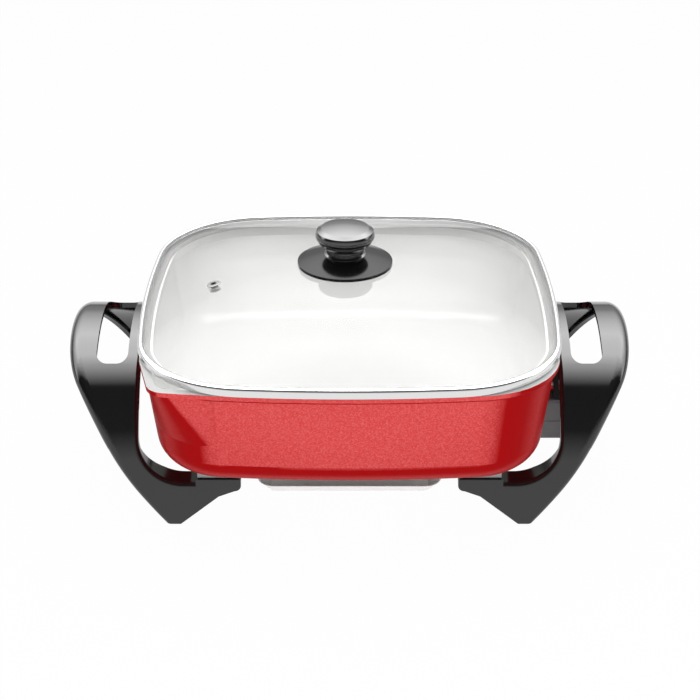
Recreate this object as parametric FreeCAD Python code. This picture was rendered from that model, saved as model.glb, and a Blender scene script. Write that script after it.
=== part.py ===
"""Square electric pan with a lift-off glass lid, two handle-and-leg arches and a plug-in control.

Millimetres. Z is up, the origin is on the table under the centre of the pan, X runs from
handle to handle with the control at +X, and -Y is the front, where the pouring lip is.
"""
import FreeCAD, Part
import math
import os

V = FreeCAD.Vector
UP = V(0, 0, 1)
OUT = V(1, 0, 0)

# ---------------------------------------------------------------- driving dimensions
# Fits
seat_gap = 0.3            # between a lifted piece and its seat
slip_fit = 0.05           # radial, screw or rod in a hole of its own body, and the dial's spindle
plug_fit = 0.1            # radial, pin in a contact sleeve
sensor_fit = 0.2          # radial, sensor rod in its bore

# Pan
rim_half_x = 167.6
rim_half_y = 169.6
rim_corner_r = 68.6
side_crown_r = 1030.0     # the four sides bow out on this radius
rim_flange_w = 2.6        # how far the rim stands out from the wall
rim_face_h = 3.6          # upright outer face of the rim
rim_flare_h = 2.6         # slope from the wall out to that face
pan_wall = 4.0
pan_floor = 5.0
pan_draft = 7.5           # degrees
pan_bottom_z = 61.0
pan_height = 86.2
pan_bottom_r = 24.0

# Pouring lip, at the front left corner
lip_turn = 3.0            # degrees from the diagonal towards the front
lip_flank = 55.0          # degrees between each flank and the lip's own direction
lip_tip_r = 13.4          # of the wall at the rim
lip_height = 50.0
lip_bite = 0.15           # how far the flanks cut into the corner they leave
lip_heel = 3.0            # how far the lip's solid reaches in behind the flanks

# Heating element, in a ridge under the pan floor
element_r = 3.3
element_depth = 2.9       # axis below the pan's bottom
element_half_x = 62.0
element_half_y = 100.0
element_bend_r = 18.0
element_turn_r = 8.0      # where the two ends turn out to the terminals
ridge_wall = 3.5
ridge_drop = 4.6          # ridge below the element's axis

# Terminals
terminal_inset = 15.0     # terminal face inside the wall's reach at the rim
terminal_block_l = 52.0
terminal_block_w = 44.0
pin_r = 2.4
pin_length = 20.0
pin_pitch = 26.0
bead_length = 4.0
sensor_r = 3.0
sensor_tip_round = 2.4
sensor_depth = 50.0

# Heat shield
shield_half_x = 62.5
shield_half_y = 123.0
shield_corner_r = 4.0
shield_flare = 9.5        # outwards and upwards
shield_sheet = 0.8
shield_drop = 20.0        # underside below the pan's bottom
shield_screw_x = 38.0
shield_screw_y = 70.0
post_r = 5.5

# Handle and leg mouldings
handle_below_rim = 9.9
handle_gap = 2.6          # between the wall at the rim and the moulding
handle_w = 60.8
arch_r = 107.5
arch_depth = 6.5          # of the arch over the hand hole
leg_depth = 20.5
leg_taper_z = 42.0        # above this the legs get thinner towards the arch
leg_taper = 20.0          # degrees
skin = 4.0
cove_r = 35.5             # round hollow under the pan's lower edge
cove_floor_z = 37.8
pad_step = 3.3            # pad top above the cove's floor
pad_length = 36.0
pad_t = 10.0              # at its nose
pad_nose_r = 5.0
pad_setback = 45.0        # from the inner edge to the pad's outer end
foot_setback = 20.3       # from the inner edge to the foot's outer corner
foot_w = 11.5
edge_round_foot = 3.0
edge_round_crest = 10.0   # outer edge, from the last stop but one of its arcs upwards
edge_round_pad = 1.5
edge_round_inner = 4.0    # inner edge, from the cove upwards
inner_strip_w = 10.4      # beside the hand hole
outer_band_w = 24.9
hand_hole_half_y = 58.0
hand_hole_corner_r = 9.0
rib_t = 2.5
rib_heights = (25.0, 51.0, 72.0)    # undersides above the foot
outer_edge_slope = 49.5   # degrees above the table, where the edge leaves the foot
outer_edge_stops = ((0.6375, 0.526), (0.8705, 0.742), (1.0, 1.0))   # ends of its arcs, shares of its width and height

# Foot pads
foot_pad_t = 1.8
foot_pad_proud = 0.5
foot_pad_margin = 1.6

# Leg brackets
bracket_sheet = 2.0
bracket_bend_r = 3.0
bracket_margin = 1.5      # inside the pad's ends
bracket_setback = 2.0     # web behind the leg's front face
boss_r = 7.0
boss_h = 3.0
screw_pitch = 15.0        # between the leg screw and the bracket screw
screw_inset = 10.5        # behind the leg's front face
driver_hole_r = 5.2
head_room = 0.5           # radial, round a sunk screw head
sunk_by = 0.3             # a small screw's head below the face it is sunk in
leg_screw_seat = 8.0      # moulding left under the pad's top

# Screws: shank radius, head radius, head height
m5 = (2.4, 4.6, 2.8)
m4 = (1.9, 3.6, 2.2)
m3 = (1.4, 2.7, 1.7)
recess_share = 0.45       # driver recess over the head's radius
nut_across = 8.0
nut_h = 4.0
screw_bite = 6.0
screw_end_room = 0.4      # hole deeper than the screw

# Socket guard, a hood over the terminals on two cast studs
guard_half_y = 31.0
guard_h = 28.0
guard_depth = 13.5
guard_wall = 2.5
guard_gap = 2.0           # above the control
guard_notch_h = 14.0
guard_notch_d = 5.5
stud_reach = 3.0          # stud end beyond the wall at the rim
stud_inset_y = 8.0
stud_up = 7.0
stud_base_r = 6.0
stud_tip_r = 4.2

# Lid
lid_over_x = 1.2          # beyond the rim at the sides
lid_over_y = 2.4          # beyond the rim at the front and rear
lid_corner_r = 90.0
band_h = 8.0
band_sheet = 1.0
band_lap = 6.0            # how far the band laps over the glass
band_round = 1.6
skirt_drop = 6.5
skirt_gap = 1.6           # between the skirt and the pan's inner wall
rim_seal_t = 2.0
glass_t = 4.0
glass_rise = 28.0
middle_roundness = 0.94   # corner radius over half width, at the lid's middle
glass_cap = 0.2           # flat centre, as a share of the dome's reach
vent_x = -110.0
vent_y = -15.0
vent_r = 3.2
vent_flange_r = 5.6
vent_sheet = 0.8
vent_seat = 0.1

# Knob
knob_x = -3.6             # it sits a little left of the lid's middle
plate_r = 38.6
plate_edge_t = 2.4
plate_foot_w = 1.6
plate_foot_lift = 0.3     # its foot above the top of the glass's own height
plate_sheet = 2.2
plate_rise = 8.5
plate_shoulder_h = 6.1    # half way out along its dome
plate_hub_r = 10.0
collar_r = 15.2
collar_flare_r = 17.0
collar_h = 6.5
collar_foot_h = 0.6
collar_slope_h = 1.6
knob_r = 24.1
knob_h = 18.8
knob_screw_l = 30.0
washer_r = 9.0
washer_t = 1.2
seal_r = 10.0
seal_t = 1.0

# Plug-in control
control_gap = 5.0         # from the terminal face
control_half_y = 33.0
control_rise = 12.0       # top above the pan's bottom
control_h = 34.8
control_split_h = 16.0    # lower shell
control_l = 61.0          # along the top
control_undercut = 16.0   # how much shorter the bottom is
control_wall = 2.5
control_end_r = 8.0
control_top_r = 2.5
seam_h = 0.6
seam_d = 0.7
pillar_r = 3.6
pillar_inset = 9.0
pillar_bite = 9.0
sleeve_wall = 1.1
sleeve_length = 16.0
sleeve_rib_t = 2.5
sensor_collar_r = 5.0
sensor_collar_t = 2.0
dial_r = 17.5
dial_end_margin = 2.0     # dial inside the housing's top end
dial_h = 8.6
dial_gap = 0.4
dial_skirt_h = 2.6
dial_skirt_round = 0.8
dial_body_r = 15.6
dial_body_round = 1.0
dial_cap_t = 1.0          # over the spindle's end
dial_flutes = 18
flute_r = 1.1
grip_inset = 3.0
grip_w = 5.0
grip_h = 1.8
spindle_r = 3.0
base_l = 28.0
base_w = 22.0
base_h = 4.0
stack_l = 6.0
stack_inset = 1.0
blade_l = 25.0
blade_w = 6.0
blade_lift = 0.5          # lower blade above the base
blade_t = 0.6
blade_gap = 2.0
lens_r = 3.0
lens_x = 8.0              # from the top's outer end
lens_y = 26.0
lens_proud = 0.9
lens_round = 0.8
inlet_r = 5.0
inlet_hole_r = 3.4
inlet_up = 9.0
inlet_y = 16.0
inlet_length = 9.0
inlet_proud = 1.0

# ---------------------------------------------------------------- worked-out places
rim_top_z = pan_bottom_z + pan_height
draft = math.tan(math.radians(pan_draft))
wall_half_x = rim_half_x - rim_flange_w
wall_half_y = rim_half_y - rim_flange_w
wall_corner_r = rim_corner_r - rim_flange_w

element_z = pan_bottom_z - element_depth
ridge_z = element_z - ridge_drop
terminal_x = wall_half_x - terminal_inset
pin_y = pin_pitch / 2
shield_z = pan_bottom_z - shield_drop

arch_top_z = rim_top_z - handle_below_rim
arch_z = arch_top_z - arch_r
inner_edge_x = wall_half_x + handle_gap
reach_x = inner_edge_x + handle_w
foot_z = foot_pad_proud
foot_outer_x = inner_edge_x - foot_setback
foot_inner_x = foot_outer_x - foot_w
pad_top_z = cove_floor_z + pad_step
pad_outer_x = inner_edge_x - pad_setback
pad_inner_x = pad_outer_x - pad_length
pad_middle_x = (pad_outer_x + pad_inner_x) / 2
leg_screw_x = pad_middle_x + screw_pitch / 2
bracket_screw_x = pad_middle_x - screw_pitch / 2
screw_y = arch_r - screw_inset
bracket_top_z = pan_bottom_z - boss_h

control_x = terminal_x + control_gap
control_top_z = pan_bottom_z + control_rise
control_bottom_z = control_top_z - control_h
split_z = control_bottom_z + control_split_h
control_end_x = control_x + control_l
shell_screw_depth = m3[2] + 2 * sunk_by
dial_x = control_end_x - dial_end_margin - dial_r
guard_bottom_z = control_top_z + guard_gap
guard_seat_x = wall_half_x + stud_reach
guard_end_x = guard_seat_x - guard_notch_d + guard_depth
guard_head_x = guard_end_x - m3[2] - sunk_by
stud_y = guard_half_y - stud_inset_y
stud_z = guard_bottom_z + stud_up

lid_half_x = rim_half_x + lid_over_x
lid_half_y = rim_half_y + lid_over_y
band_z = rim_top_z + seat_gap
band_top_z = band_z + band_h
glass_edge_z = band_z + band_sheet + rim_seal_t
glass_face_z = glass_edge_z + glass_t
glass_top_z = glass_face_z + glass_rise
skirt_inset = rim_flange_w + pan_wall + skirt_gap + max(lid_over_x, lid_over_y)
plate_top_z = glass_top_z + plate_rise
knob_z = plate_top_z + collar_h


# ---------------------------------------------------------------- outlines
def corner_centre(half_x, half_y, corner_r, crown_r):
    """Centre of the corner arc that is tangent to both bowed sides."""
    cx = half_x - corner_r
    cy = half_y - corner_r
    for _ in range(40):
        cx = half_x - crown_r + math.sqrt((crown_r - corner_r) ** 2 - cy ** 2)
        cy = half_y - crown_r + math.sqrt((crown_r - corner_r) ** 2 - cx ** 2)
    return cx, cy


def plan_outline(half_x, half_y, corner_r, crown_r, z):
    """Wire of a square with bowed sides and round corners, in plan at height z."""
    cx, cy = corner_centre(half_x, half_y, corner_r, crown_r)
    reach = crown_r / (crown_r - corner_r)
    side_x = (half_x - crown_r) + reach * (cx - half_x + crown_r)
    side_y = reach * cy
    top_x = reach * cx
    top_y = (half_y - crown_r) + reach * (cy - half_y + crown_r)
    bend = corner_r * math.sqrt(0.5)
    arcs = [
        (V(side_x, side_y, z), V(cx + bend, cy + bend, z), V(top_x, top_y, z)),
        (V(top_x, top_y, z), V(0, half_y, z), V(-top_x, top_y, z)),
        (V(-top_x, top_y, z), V(-cx - bend, cy + bend, z), V(-side_x, side_y, z)),
        (V(-side_x, side_y, z), V(-half_x, 0, z), V(-side_x, -side_y, z)),
        (V(-side_x, -side_y, z), V(-cx - bend, -cy - bend, z), V(-top_x, -top_y, z)),
        (V(-top_x, -top_y, z), V(0, -half_y, z), V(top_x, -top_y, z)),
        (V(top_x, -top_y, z), V(cx + bend, -cy - bend, z), V(side_x, -side_y, z)),
        (V(side_x, -side_y, z), V(half_x, 0, z), V(side_x, side_y, z)),
    ]
    return Part.Wire([Part.Arc(*points).toShape() for points in arcs])


def wall_outline(inset, z):
    """The pan wall's outer outline at the rim, moved inwards by inset all round."""
    return plan_outline(wall_half_x - inset, wall_half_y - inset, wall_corner_r - inset, side_crown_r - inset, z)


def lid_outline(inset, z):
    """The lid's outline, moved inwards by inset all round."""
    return plan_outline(lid_half_x - inset, lid_half_y - inset, lid_corner_r - inset, side_crown_r - inset, z)


def rounded_rectangle(x0, x1, y0, y1, radius, z):
    """Wire of a rectangle with round corners, in plan at height z."""
    bend = radius * (1 - math.sqrt(0.5))
    points = [
        (V(x1, y1 - radius, z), V(x1 - bend, y1 - bend, z), V(x1 - radius, y1, z)),
        (V(x0 + radius, y1, z), V(x0 + bend, y1 - bend, z), V(x0, y1 - radius, z)),
        (V(x0, y0 + radius, z), V(x0 + bend, y0 + bend, z), V(x0 + radius, y0, z)),
        (V(x1 - radius, y0, z), V(x1 - bend, y0 + bend, z), V(x1, y0 + radius, z)),
    ]
    edges = []
    for number, arc in enumerate(points):
        edges.append(Part.Arc(*arc).toShape())
        edges.append(Part.LineSegment(arc[2], points[(number + 1) % 4][0]).toShape())
    return Part.Wire(edges)


# ---------------------------------------------------------------- solids and sets
def prism(wire, height):
    """Solid that rises from a flat wire by height."""
    return Part.Face(wire).extrude(V(0, 0, height))


def polygon(points):
    """Closed wire through points."""
    return Part.makePolygon(list(points) + [points[0]])


def box(x0, x1, y0, y1, z0, z1):
    """Box between two corners."""
    return Part.makeBox(x1 - x0, y1 - y0, z1 - z0, V(x0, y0, z0))


def rod(radius, start, direction, length):
    """Cylinder from start along direction."""
    return Part.makeCylinder(radius, length, start, direction)


def tube(outer_r, inner_r, start, direction, length):
    """Plain sleeve from start along direction."""
    return rod(outer_r, start, direction, length).cut(rod(inner_r, start, direction, length))


def turned(wire):
    """Solid turned about Z from a closed outline in the XZ plane."""
    return Part.Face(wire).revolve(V(0, 0, 0), UP, 360)


def round_edges(shape, radius, wanted):
    """Fillet the edges for which wanted(edge) is true."""
    return shape.makeFillet(radius, [edge for edge in shape.Edges if wanted(edge)])


def fused(shapes):
    """Union of shapes, with its flush faces joined."""
    whole = shapes[0]
    for shape in shapes[1:]:
        whole = whole.fuse(shape)
    return whole.removeSplitter()


def without(body, tools):
    """Body with every tool cut away."""
    for tool in tools:
        body = body.cut(tool)
    return body


def group(shapes):
    """Separate solids kept in one node."""
    return Part.makeCompound([solid for shape in shapes for solid in shape.Solids])


def four_corners(x, y):
    """The points (+-x, +-y)."""
    return [(sx * x, sy * y) for sx in (-1, 1) for sy in (-1, 1)]


def screw(size, tip, direction, length):
    """Pan-head screw: tip of the shank, direction from head to tip, length under the head."""
    shank_r, head_r, head_h = size
    under_head = tip - direction * length
    top = under_head - direction * head_h
    head = rod(head_r, top, direction, head_h)
    recess = rod(head_r * recess_share, top, direction, head_h / 2)
    return fused([head.cut(recess), rod(shank_r, under_head, direction, length)])


def save(name, shape):
    """Write one node and say what it holds."""
    shape.exportStep(os.path.join("parts", name + ".step"))
    print(name, len(shape.Solids), round(shape.Volume, 1), shape.isValid())


# ---------------------------------------------------------------- pan
def drafted_bowl(inset, bottom_z, top_z, bottom_r):
    """Volume inside the drafted wall, moved inwards by inset, its bottom edge rounded."""
    low = wall_outline(inset + (rim_top_z - bottom_z) * draft, bottom_z)
    high = wall_outline(inset + (rim_top_z - top_z) * draft, top_z)
    bowl = Part.makeLoft([low, high], True, True)
    return round_edges(bowl, bottom_r, lambda edge: edge.BoundBox.ZMax < bottom_z + 0.01)


def lip_section(corner_r, tip_r, z):
    """Lip in plan, out of the front left corner: its flanks leave the corner's own round as tangents."""
    angle = math.radians(225 + lip_turn)
    along = V(math.cos(angle), math.sin(angle), 0)
    across = V(-along.y, along.x, 0)
    cx, cy = corner_centre(wall_half_x, wall_half_y, wall_corner_r, side_crown_r)
    middle = V(-cx, -cy, z)
    sine = math.sin(math.radians(lip_flank))
    cosine = math.cos(math.radians(lip_flank))
    tip_middle = middle + along * ((corner_r - tip_r) / sine)
    nose = tip_middle + along * (tip_r * sine)
    nose_side = across * (tip_r * cosine)
    root = middle + along * (corner_r * sine)
    root_side = across * (corner_r * cosine)
    heel = root - along * lip_heel
    edges = [Part.Arc(nose + nose_side, tip_middle + along * tip_r, nose - nose_side).toShape()]
    corners = [nose - nose_side, root - root_side, heel - root_side, heel + root_side, root + root_side, nose + nose_side]
    edges += [Part.LineSegment(start, end).toShape() for start, end in zip(corners, corners[1:])]
    return Part.Wire(edges)


def lip(inset, top_z):
    """Volume of the pouring lip, moved inwards by inset: it runs out into the corner further down."""
    low_z = rim_top_z - lip_height
    low_r = wall_corner_r - inset - lip_bite - lip_height * draft
    high_r = wall_corner_r - inset - lip_bite + (top_z - rim_top_z) * draft
    low = lip_section(low_r, low_r - lip_bite, low_z)
    high = lip_section(high_r, lip_tip_r - inset, top_z)
    return Part.makeLoft([low, high], True, False)


def element_path():
    """Centre line of the heating rod: in at one terminal, round the floor, out at the other."""
    x, y, bend, turn = element_half_x, element_half_y, element_bend_r, element_turn_r
    stops = [(x, -pin_y, turn), (x, -y, bend), (-x, -y, bend), (-x, y, bend), (x, y, bend), (x, pin_y, turn)]
    first = V(terminal_x, -pin_y, element_z)
    last = V(terminal_x, pin_y, element_z)
    corners = [first] + [V(sx, sy, element_z) for sx, sy, _ in stops] + [last]
    edges = []
    pen = first
    for number, (_, _, radius) in enumerate(stops):
        before, corner, after = corners[number:number + 3]
        to_before = (before - corner).normalize()
        to_after = (after - corner).normalize()
        start = corner + to_before * radius
        end = corner + to_after * radius
        centre = start + to_after * radius
        middle = centre + (corner - centre).normalize() * radius
        edges.append(Part.LineSegment(pen, start).toShape())
        edges.append(Part.Arc(start, middle, end).toShape())
        pen = end
    edges.append(Part.LineSegment(pen, last).toShape())
    return Part.Wire(edges)


def along_element(section):
    """Solid of a flat section, drawn at the first terminal and swept along the heating rod."""
    return element_path().makePipeShell([section], True, False)


def element_bar(half_w, below, above):
    """Rectangular bar that follows the heating rod."""
    start = V(terminal_x, -pin_y, element_z)
    corners = [(-half_w, -below), (half_w, -below), (half_w, above), (-half_w, above)]
    return along_element(polygon([start + V(0, dy, dz) for dy, dz in corners]))


def element_rod(radius):
    """Round bar that follows the heating rod."""
    start = V(terminal_x, -pin_y, element_z)
    return along_element(Part.Wire(Part.makeCircle(radius, start, OUT)))


def pan_castings():
    """What is cast on the pan's underside and wall: ridge, terminal block, posts, bosses, studs."""
    half_block = terminal_block_w / 2
    solids = [
        box(terminal_x - terminal_block_l, terminal_x, -half_block, half_block, ridge_z - 1, pan_bottom_z + 2),
        element_bar(element_r + ridge_wall, ridge_drop, element_depth + 1),
    ]
    for x, y in four_corners(shield_screw_x, shield_screw_y):
        solids.append(rod(post_r, V(x, y, shield_z + shield_sheet), UP, shield_drop - shield_sheet + 1))
    for x, y in four_corners(bracket_screw_x, screw_y):
        solids.append(rod(boss_r, V(x, y, bracket_top_z), UP, boss_h + 1))
    stud_l = stud_reach + terminal_inset
    for y in (-stud_y, stud_y):
        base = V(guard_seat_x - stud_l, y, stud_z)
        solids.append(Part.makeCone(stud_base_r, stud_tip_r, stud_l, base, OUT))
    return solids


def pan_holes():
    """What is cut out of the casting: element channel, sensor bore and screw holes."""
    bore_start = V(terminal_x - sensor_depth - 1, 0, element_z)
    holes = [
        element_bar(element_r + slip_fit, ridge_drop + 2, 0),
        element_rod(element_r + slip_fit),
        rod(sensor_r + sensor_fit, bore_start, OUT, sensor_depth + 2),
    ]
    for x, y in four_corners(shield_screw_x, shield_screw_y):
        start = V(x, y, shield_z)
        holes.append(rod(m4[0] + slip_fit, start, UP, shield_sheet + screw_bite + screw_end_room))
    for x, y in four_corners(bracket_screw_x, screw_y):
        start = V(x, y, bracket_top_z - 1)
        holes.append(rod(m5[0] + slip_fit, start, UP, 1 + screw_bite + screw_end_room))
    for y in (-stud_y, stud_y):
        start = V(guard_seat_x - screw_bite - screw_end_room, y, stud_z)
        holes.append(rod(m3[0] + slip_fit, start, OUT, screw_bite + screw_end_room + 1))
    return holes


def pan():
    """The whole casting."""
    face_z = rim_top_z - rim_face_h
    flare_z = face_z - rim_flare_h
    flare_low = wall_outline((rim_top_z - flare_z) * draft, flare_z)
    solids = [
        drafted_bowl(0, pan_bottom_z, rim_top_z, pan_bottom_r),
        Part.makeLoft([flare_low, wall_outline(-rim_flange_w, face_z)], True, True),
        prism(wall_outline(-rim_flange_w, face_z), rim_face_h),
        lip(0, rim_top_z),
        prism(lip_section(rim_corner_r - lip_bite, lip_tip_r + rim_flange_w, face_z), rim_face_h),
    ]
    body = fused(solids + pan_castings())
    inside = drafted_bowl(pan_wall, pan_bottom_z + pan_floor, rim_top_z + 2, pan_bottom_r - pan_wall)
    inside = inside.fuse(lip(pan_wall, rim_top_z + 2))
    return without(body, [inside] + pan_holes()).removeSplitter()


# ---------------------------------------------------------------- element, terminals, heat shield
def pin_starts():
    """Where the two cold pins leave the terminal block."""
    return [V(terminal_x, y, element_z) for y in (-pin_y, pin_y)]


def terminal_pins():
    """The two cold pins, face to face with the ends of the heating rod."""
    pins = [rod(pin_r, start, OUT, pin_length) for start in pin_starts()]
    return group([round_edges(pin, pin_r / 2, lambda edge: edge.BoundBox.XMin > terminal_x + 1) for pin in pins])


def pin_insulators():
    """Ceramic beads on the pins, against the terminal block."""
    return group([tube(element_r, pin_r + slip_fit, start, OUT, bead_length) for start in pin_starts()])


def shield_form(inset):
    """Solid of the tray's outer side, or of its inner side one sheet further in."""
    slant = inset * (math.sqrt(2) - 1)
    half_x = shield_half_x - slant
    half_y = shield_half_y - slant
    radius = shield_corner_r - slant
    low_z = shield_z + inset
    grow = shield_z + shield_flare - low_z
    low = rounded_rectangle(-half_x, half_x, -half_y, half_y, radius, low_z)
    high_x, high_y, high_r = half_x + grow, half_y + grow, radius + grow
    high = rounded_rectangle(-high_x, high_x, -high_y, high_y, high_r, low_z + grow)
    return Part.makeLoft([low, high], True, True)


def heat_shield():
    """Bright sheet tray with sides flared at 45 degrees."""
    holes = [
        rod(m4[0] + slip_fit, V(x, y, shield_z - 1), UP, shield_sheet + 2)
        for x, y in four_corners(shield_screw_x, shield_screw_y)
    ]
    return without(shield_form(0), [shield_form(shield_sheet)] + holes)


def heat_shield_screws():
    """Four screws up into the cast posts."""
    tip_z = shield_z + shield_sheet + screw_bite
    corners = four_corners(shield_screw_x, shield_screw_y)
    return group([screw(m4, V(x, y, tip_z), UP, screw_bite + shield_sheet) for x, y in corners])


# ---------------------------------------------------------------- handles and legs
def outer_edge():
    """Long swept edge from the foot's outer corner up to the handle's reach: arcs, each tangent to the last."""
    width = reach_x - foot_outer_x
    height = arch_top_z + skin - foot_z
    slope = math.radians(outer_edge_slope)
    pen = V(foot_outer_x, 0, foot_z)
    edges = []
    for across, up in outer_edge_stops:
        end = V(foot_outer_x + across * width, 0, foot_z + up * height)
        chord = end - pen
        chord_slope = math.atan2(chord.z, chord.x)
        outwards = V(chord.z, 0, -chord.x).normalize()
        sagitta = chord.Length / 2 * math.tan((chord_slope - slope) / 2)
        edges.append(Part.Arc(pen, (pen + end) * 0.5 + outwards * sagitta, end).toShape())
        slope = 2 * chord_slope - slope
        pen = end
    return edges


def side_profile():
    """The right moulding seen from the front: handle, leg, cove under the pan, pad and foot."""
    top_z = arch_top_z + skin
    cove_bend = cove_r * (1 - math.sqrt(0.5))
    cove_top = V(inner_edge_x, 0, cove_floor_z + cove_r)
    cove_mid = V(inner_edge_x - cove_bend, 0, cove_floor_z + cove_bend)
    cove_end = V(inner_edge_x - cove_r, 0, cove_floor_z)
    nose_low_z = pad_top_z - pad_t
    nose_bend = pad_nose_r * (1 - math.sqrt(0.5))
    nose_mid = V(pad_inner_x + nose_bend, 0, nose_low_z + nose_bend)
    corners = [
        V(reach_x, 0, top_z), V(inner_edge_x, 0, top_z), cove_top,
        cove_end, V(pad_outer_x, 0, cove_floor_z), V(pad_outer_x, 0, pad_top_z), V(pad_inner_x, 0, pad_top_z),
        V(pad_inner_x, 0, nose_low_z + pad_nose_r), V(pad_inner_x + pad_nose_r, 0, nose_low_z),
        V(pad_inner_x + pad_length / 2, 0, nose_low_z - pad_t / 2),
        V(foot_inner_x, 0, foot_z), V(foot_outer_x, 0, foot_z),
    ]
    middles = [(cove_top, cove_mid), (corners[7], nose_mid)]
    edges = outer_edge()
    for start, end in zip(corners, corners[1:]):
        rounded = [middle for arc_start, middle in middles if arc_start is start]
        curve = Part.Arc(start, rounded[0], end) if rounded else Part.LineSegment(start, end)
        edges.append(curve.toShape())
    return Part.Wire(edges)


def side_slab(wire):
    """The side profile as wide as the arch."""
    slab = Part.Face(wire).extrude(V(0, 2 * arch_r, 0))
    return slab.translated(V(0, -arch_r, 0))


def arch_slab(radius):
    """A half round on two upright sides, seen from the right, longer than the moulding."""
    x = pad_inner_x - skin
    low_z = foot_z - 1
    side_a = V(x, -radius, arch_z)
    side_b = V(x, radius, arch_z)
    wire = Part.Wire([
        Part.LineSegment(V(x, -radius, low_z), side_a).toShape(),
        Part.Arc(side_a, V(x, 0, arch_z + radius), side_b).toShape(),
        Part.LineSegment(side_b, V(x, radius, low_z)).toShape(),
        Part.LineSegment(V(x, radius, low_z), V(x, -radius, low_z)).toShape(),
    ])
    return Part.Face(wire).extrude(V(reach_x - x + skin, 0, 0))


def on_arch_skin(edge):
    """True for an edge that lies in the arch's outer skin and isn't level."""
    def on_skin(point):
        side = abs(point.y) if point.z < arch_z else math.hypot(point.y, point.z - arch_z)
        return abs(side - arch_r) < 0.02

    return edge.BoundBox.ZLength > slip_fit and all(on_skin(point) for point in edge.discretize(5))


def is_outer_edge(edge):
    """True for the long outer edges of the arch's skin."""
    return on_arch_skin(edge) and edge.BoundBox.XMin > foot_outer_x - 0.1 and edge.BoundBox.XMax > inner_edge_x + 0.1


def is_inner_edge(edge):
    """True for the skin's edges beside the pan and round the cove."""
    span = edge.BoundBox
    return on_arch_skin(edge) and span.XMax < inner_edge_x + 0.1 and span.XMin > inner_edge_x - cove_r - 0.1


def growing(low_z, low_r, high_z, high_r, z):
    """Radius at height z of a round that grows evenly from low_z to high_z."""
    share = min(1.0, max(0.0, (z - low_z) / (high_z - low_z)))
    return low_r + (high_r - low_r) * share


def outer_round(z):
    """Radius of the skin's outer edge at height z."""
    full_z = foot_z + outer_edge_stops[1][1] * (arch_top_z + skin - foot_z)
    return growing(foot_z, edge_round_foot, full_z, edge_round_crest, z)


def inner_round(z):
    """Radius of the skin's inner edge at height z."""
    return growing(cove_floor_z, edge_round_pad, cove_floor_z + cove_r, edge_round_inner, z)


def grown_rounds(shape):
    """Fillet the skin's long edges, from the front foot over the crest to the rear foot."""
    radii = []
    for number, edge in enumerate(shape.Edges, 1):
        ends = sorted((end.Point for end in edge.Vertexes), key=lambda p: p.z if p.y < 0 else 2 * arch_top_z - p.z)
        if is_outer_edge(edge):
            radii.append((number, outer_round(ends[0].z), outer_round(ends[-1].z)))
        elif is_inner_edge(edge):
            radii.append((number, inner_round(ends[0].z), inner_round(ends[-1].z)))
    document = FreeCAD.newDocument("rounds")
    sharp = document.addObject("Part::Feature", "sharp")
    sharp.Shape = shape
    rounded = document.addObject("Part::Fillet", "rounded")
    rounded.Base = sharp
    rounded.Edges = radii
    document.recompute()
    result = rounded.Shape.copy()
    FreeCAD.closeDocument(document.Name)
    return result


def under_arch():
    """Space between the legs and under the arch, wider where the legs taper."""
    low_y = arch_r - leg_depth
    high_y = low_y + (arch_top_z - leg_taper_z) * math.tan(math.radians(leg_taper))
    x = pad_inner_x - skin
    half = [(low_y, foot_z - skin), (low_y, leg_taper_z), (high_y, arch_top_z)]
    outline = half + [(-y, z) for y, z in reversed(half)]
    space = Part.Face(polygon([V(x, y, z) for y, z in outline])).extrude(V(reach_x - x + skin, 0, 0))
    return space.common(arch_slab(arch_r - arch_depth))


def handle_right():
    """One moulding: hollow handle arch with its hand hole, two legs, and pads for the brackets."""
    wire = side_profile()
    full = side_slab(wire).common(arch_slab(arch_r).cut(under_arch()))
    full = grown_rounds(full)

    hollow = Part.Face(wire).makeOffset2D(-skin).extrude(V(0, 2 * arch_r, 0)).translated(V(0, -arch_r, 0))
    hollow = hollow.common(arch_slab(arch_r - skin))
    for height in rib_heights:
        hollow = hollow.cut(box(0, reach_x, -arch_r, arch_r, foot_z + height, foot_z + height + rib_t))
    for y in (-screw_y, screw_y):
        hollow = hollow.cut(rod(boss_r - 1, V(leg_screw_x, y, 0), UP, pad_top_z))

    hole_x0 = inner_edge_x + inner_strip_w
    hole_x1 = reach_x - outer_band_w
    hole = rounded_rectangle(hole_x0, hole_x1, -hand_hole_half_y, hand_hole_half_y, hand_hole_corner_r, arch_z)
    tools = [hollow, prism(hole, arch_r + skin)]
    for y in (-screw_y, screw_y):
        tools.append(rod(m5[0] + slip_fit, V(leg_screw_x, y, 0), UP, pad_top_z + 1))
        tools.append(rod(m5[1] + head_room, V(leg_screw_x, y, 0), UP, pad_top_z - leg_screw_seat))
    for pad in foot_pad_places():
        tools.append(foot_pad(pad))
    return without(full, tools).removeSplitter()


def foot_pad_places():
    """Centres of the two foot pads of the right moulding."""
    y = arch_r - leg_depth / 2
    return [(foot_outer_x - foot_w / 2, -y), (foot_outer_x - foot_w / 2, y)]


def foot_pad(place):
    """Anti-slip pad let into a foot."""
    x, y = place
    half_x = foot_w / 2 - foot_pad_margin
    half_y = leg_depth / 2 - foot_pad_margin
    return box(x - half_x, x + half_x, y - half_y, y + half_y, 0, foot_pad_t)


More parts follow.
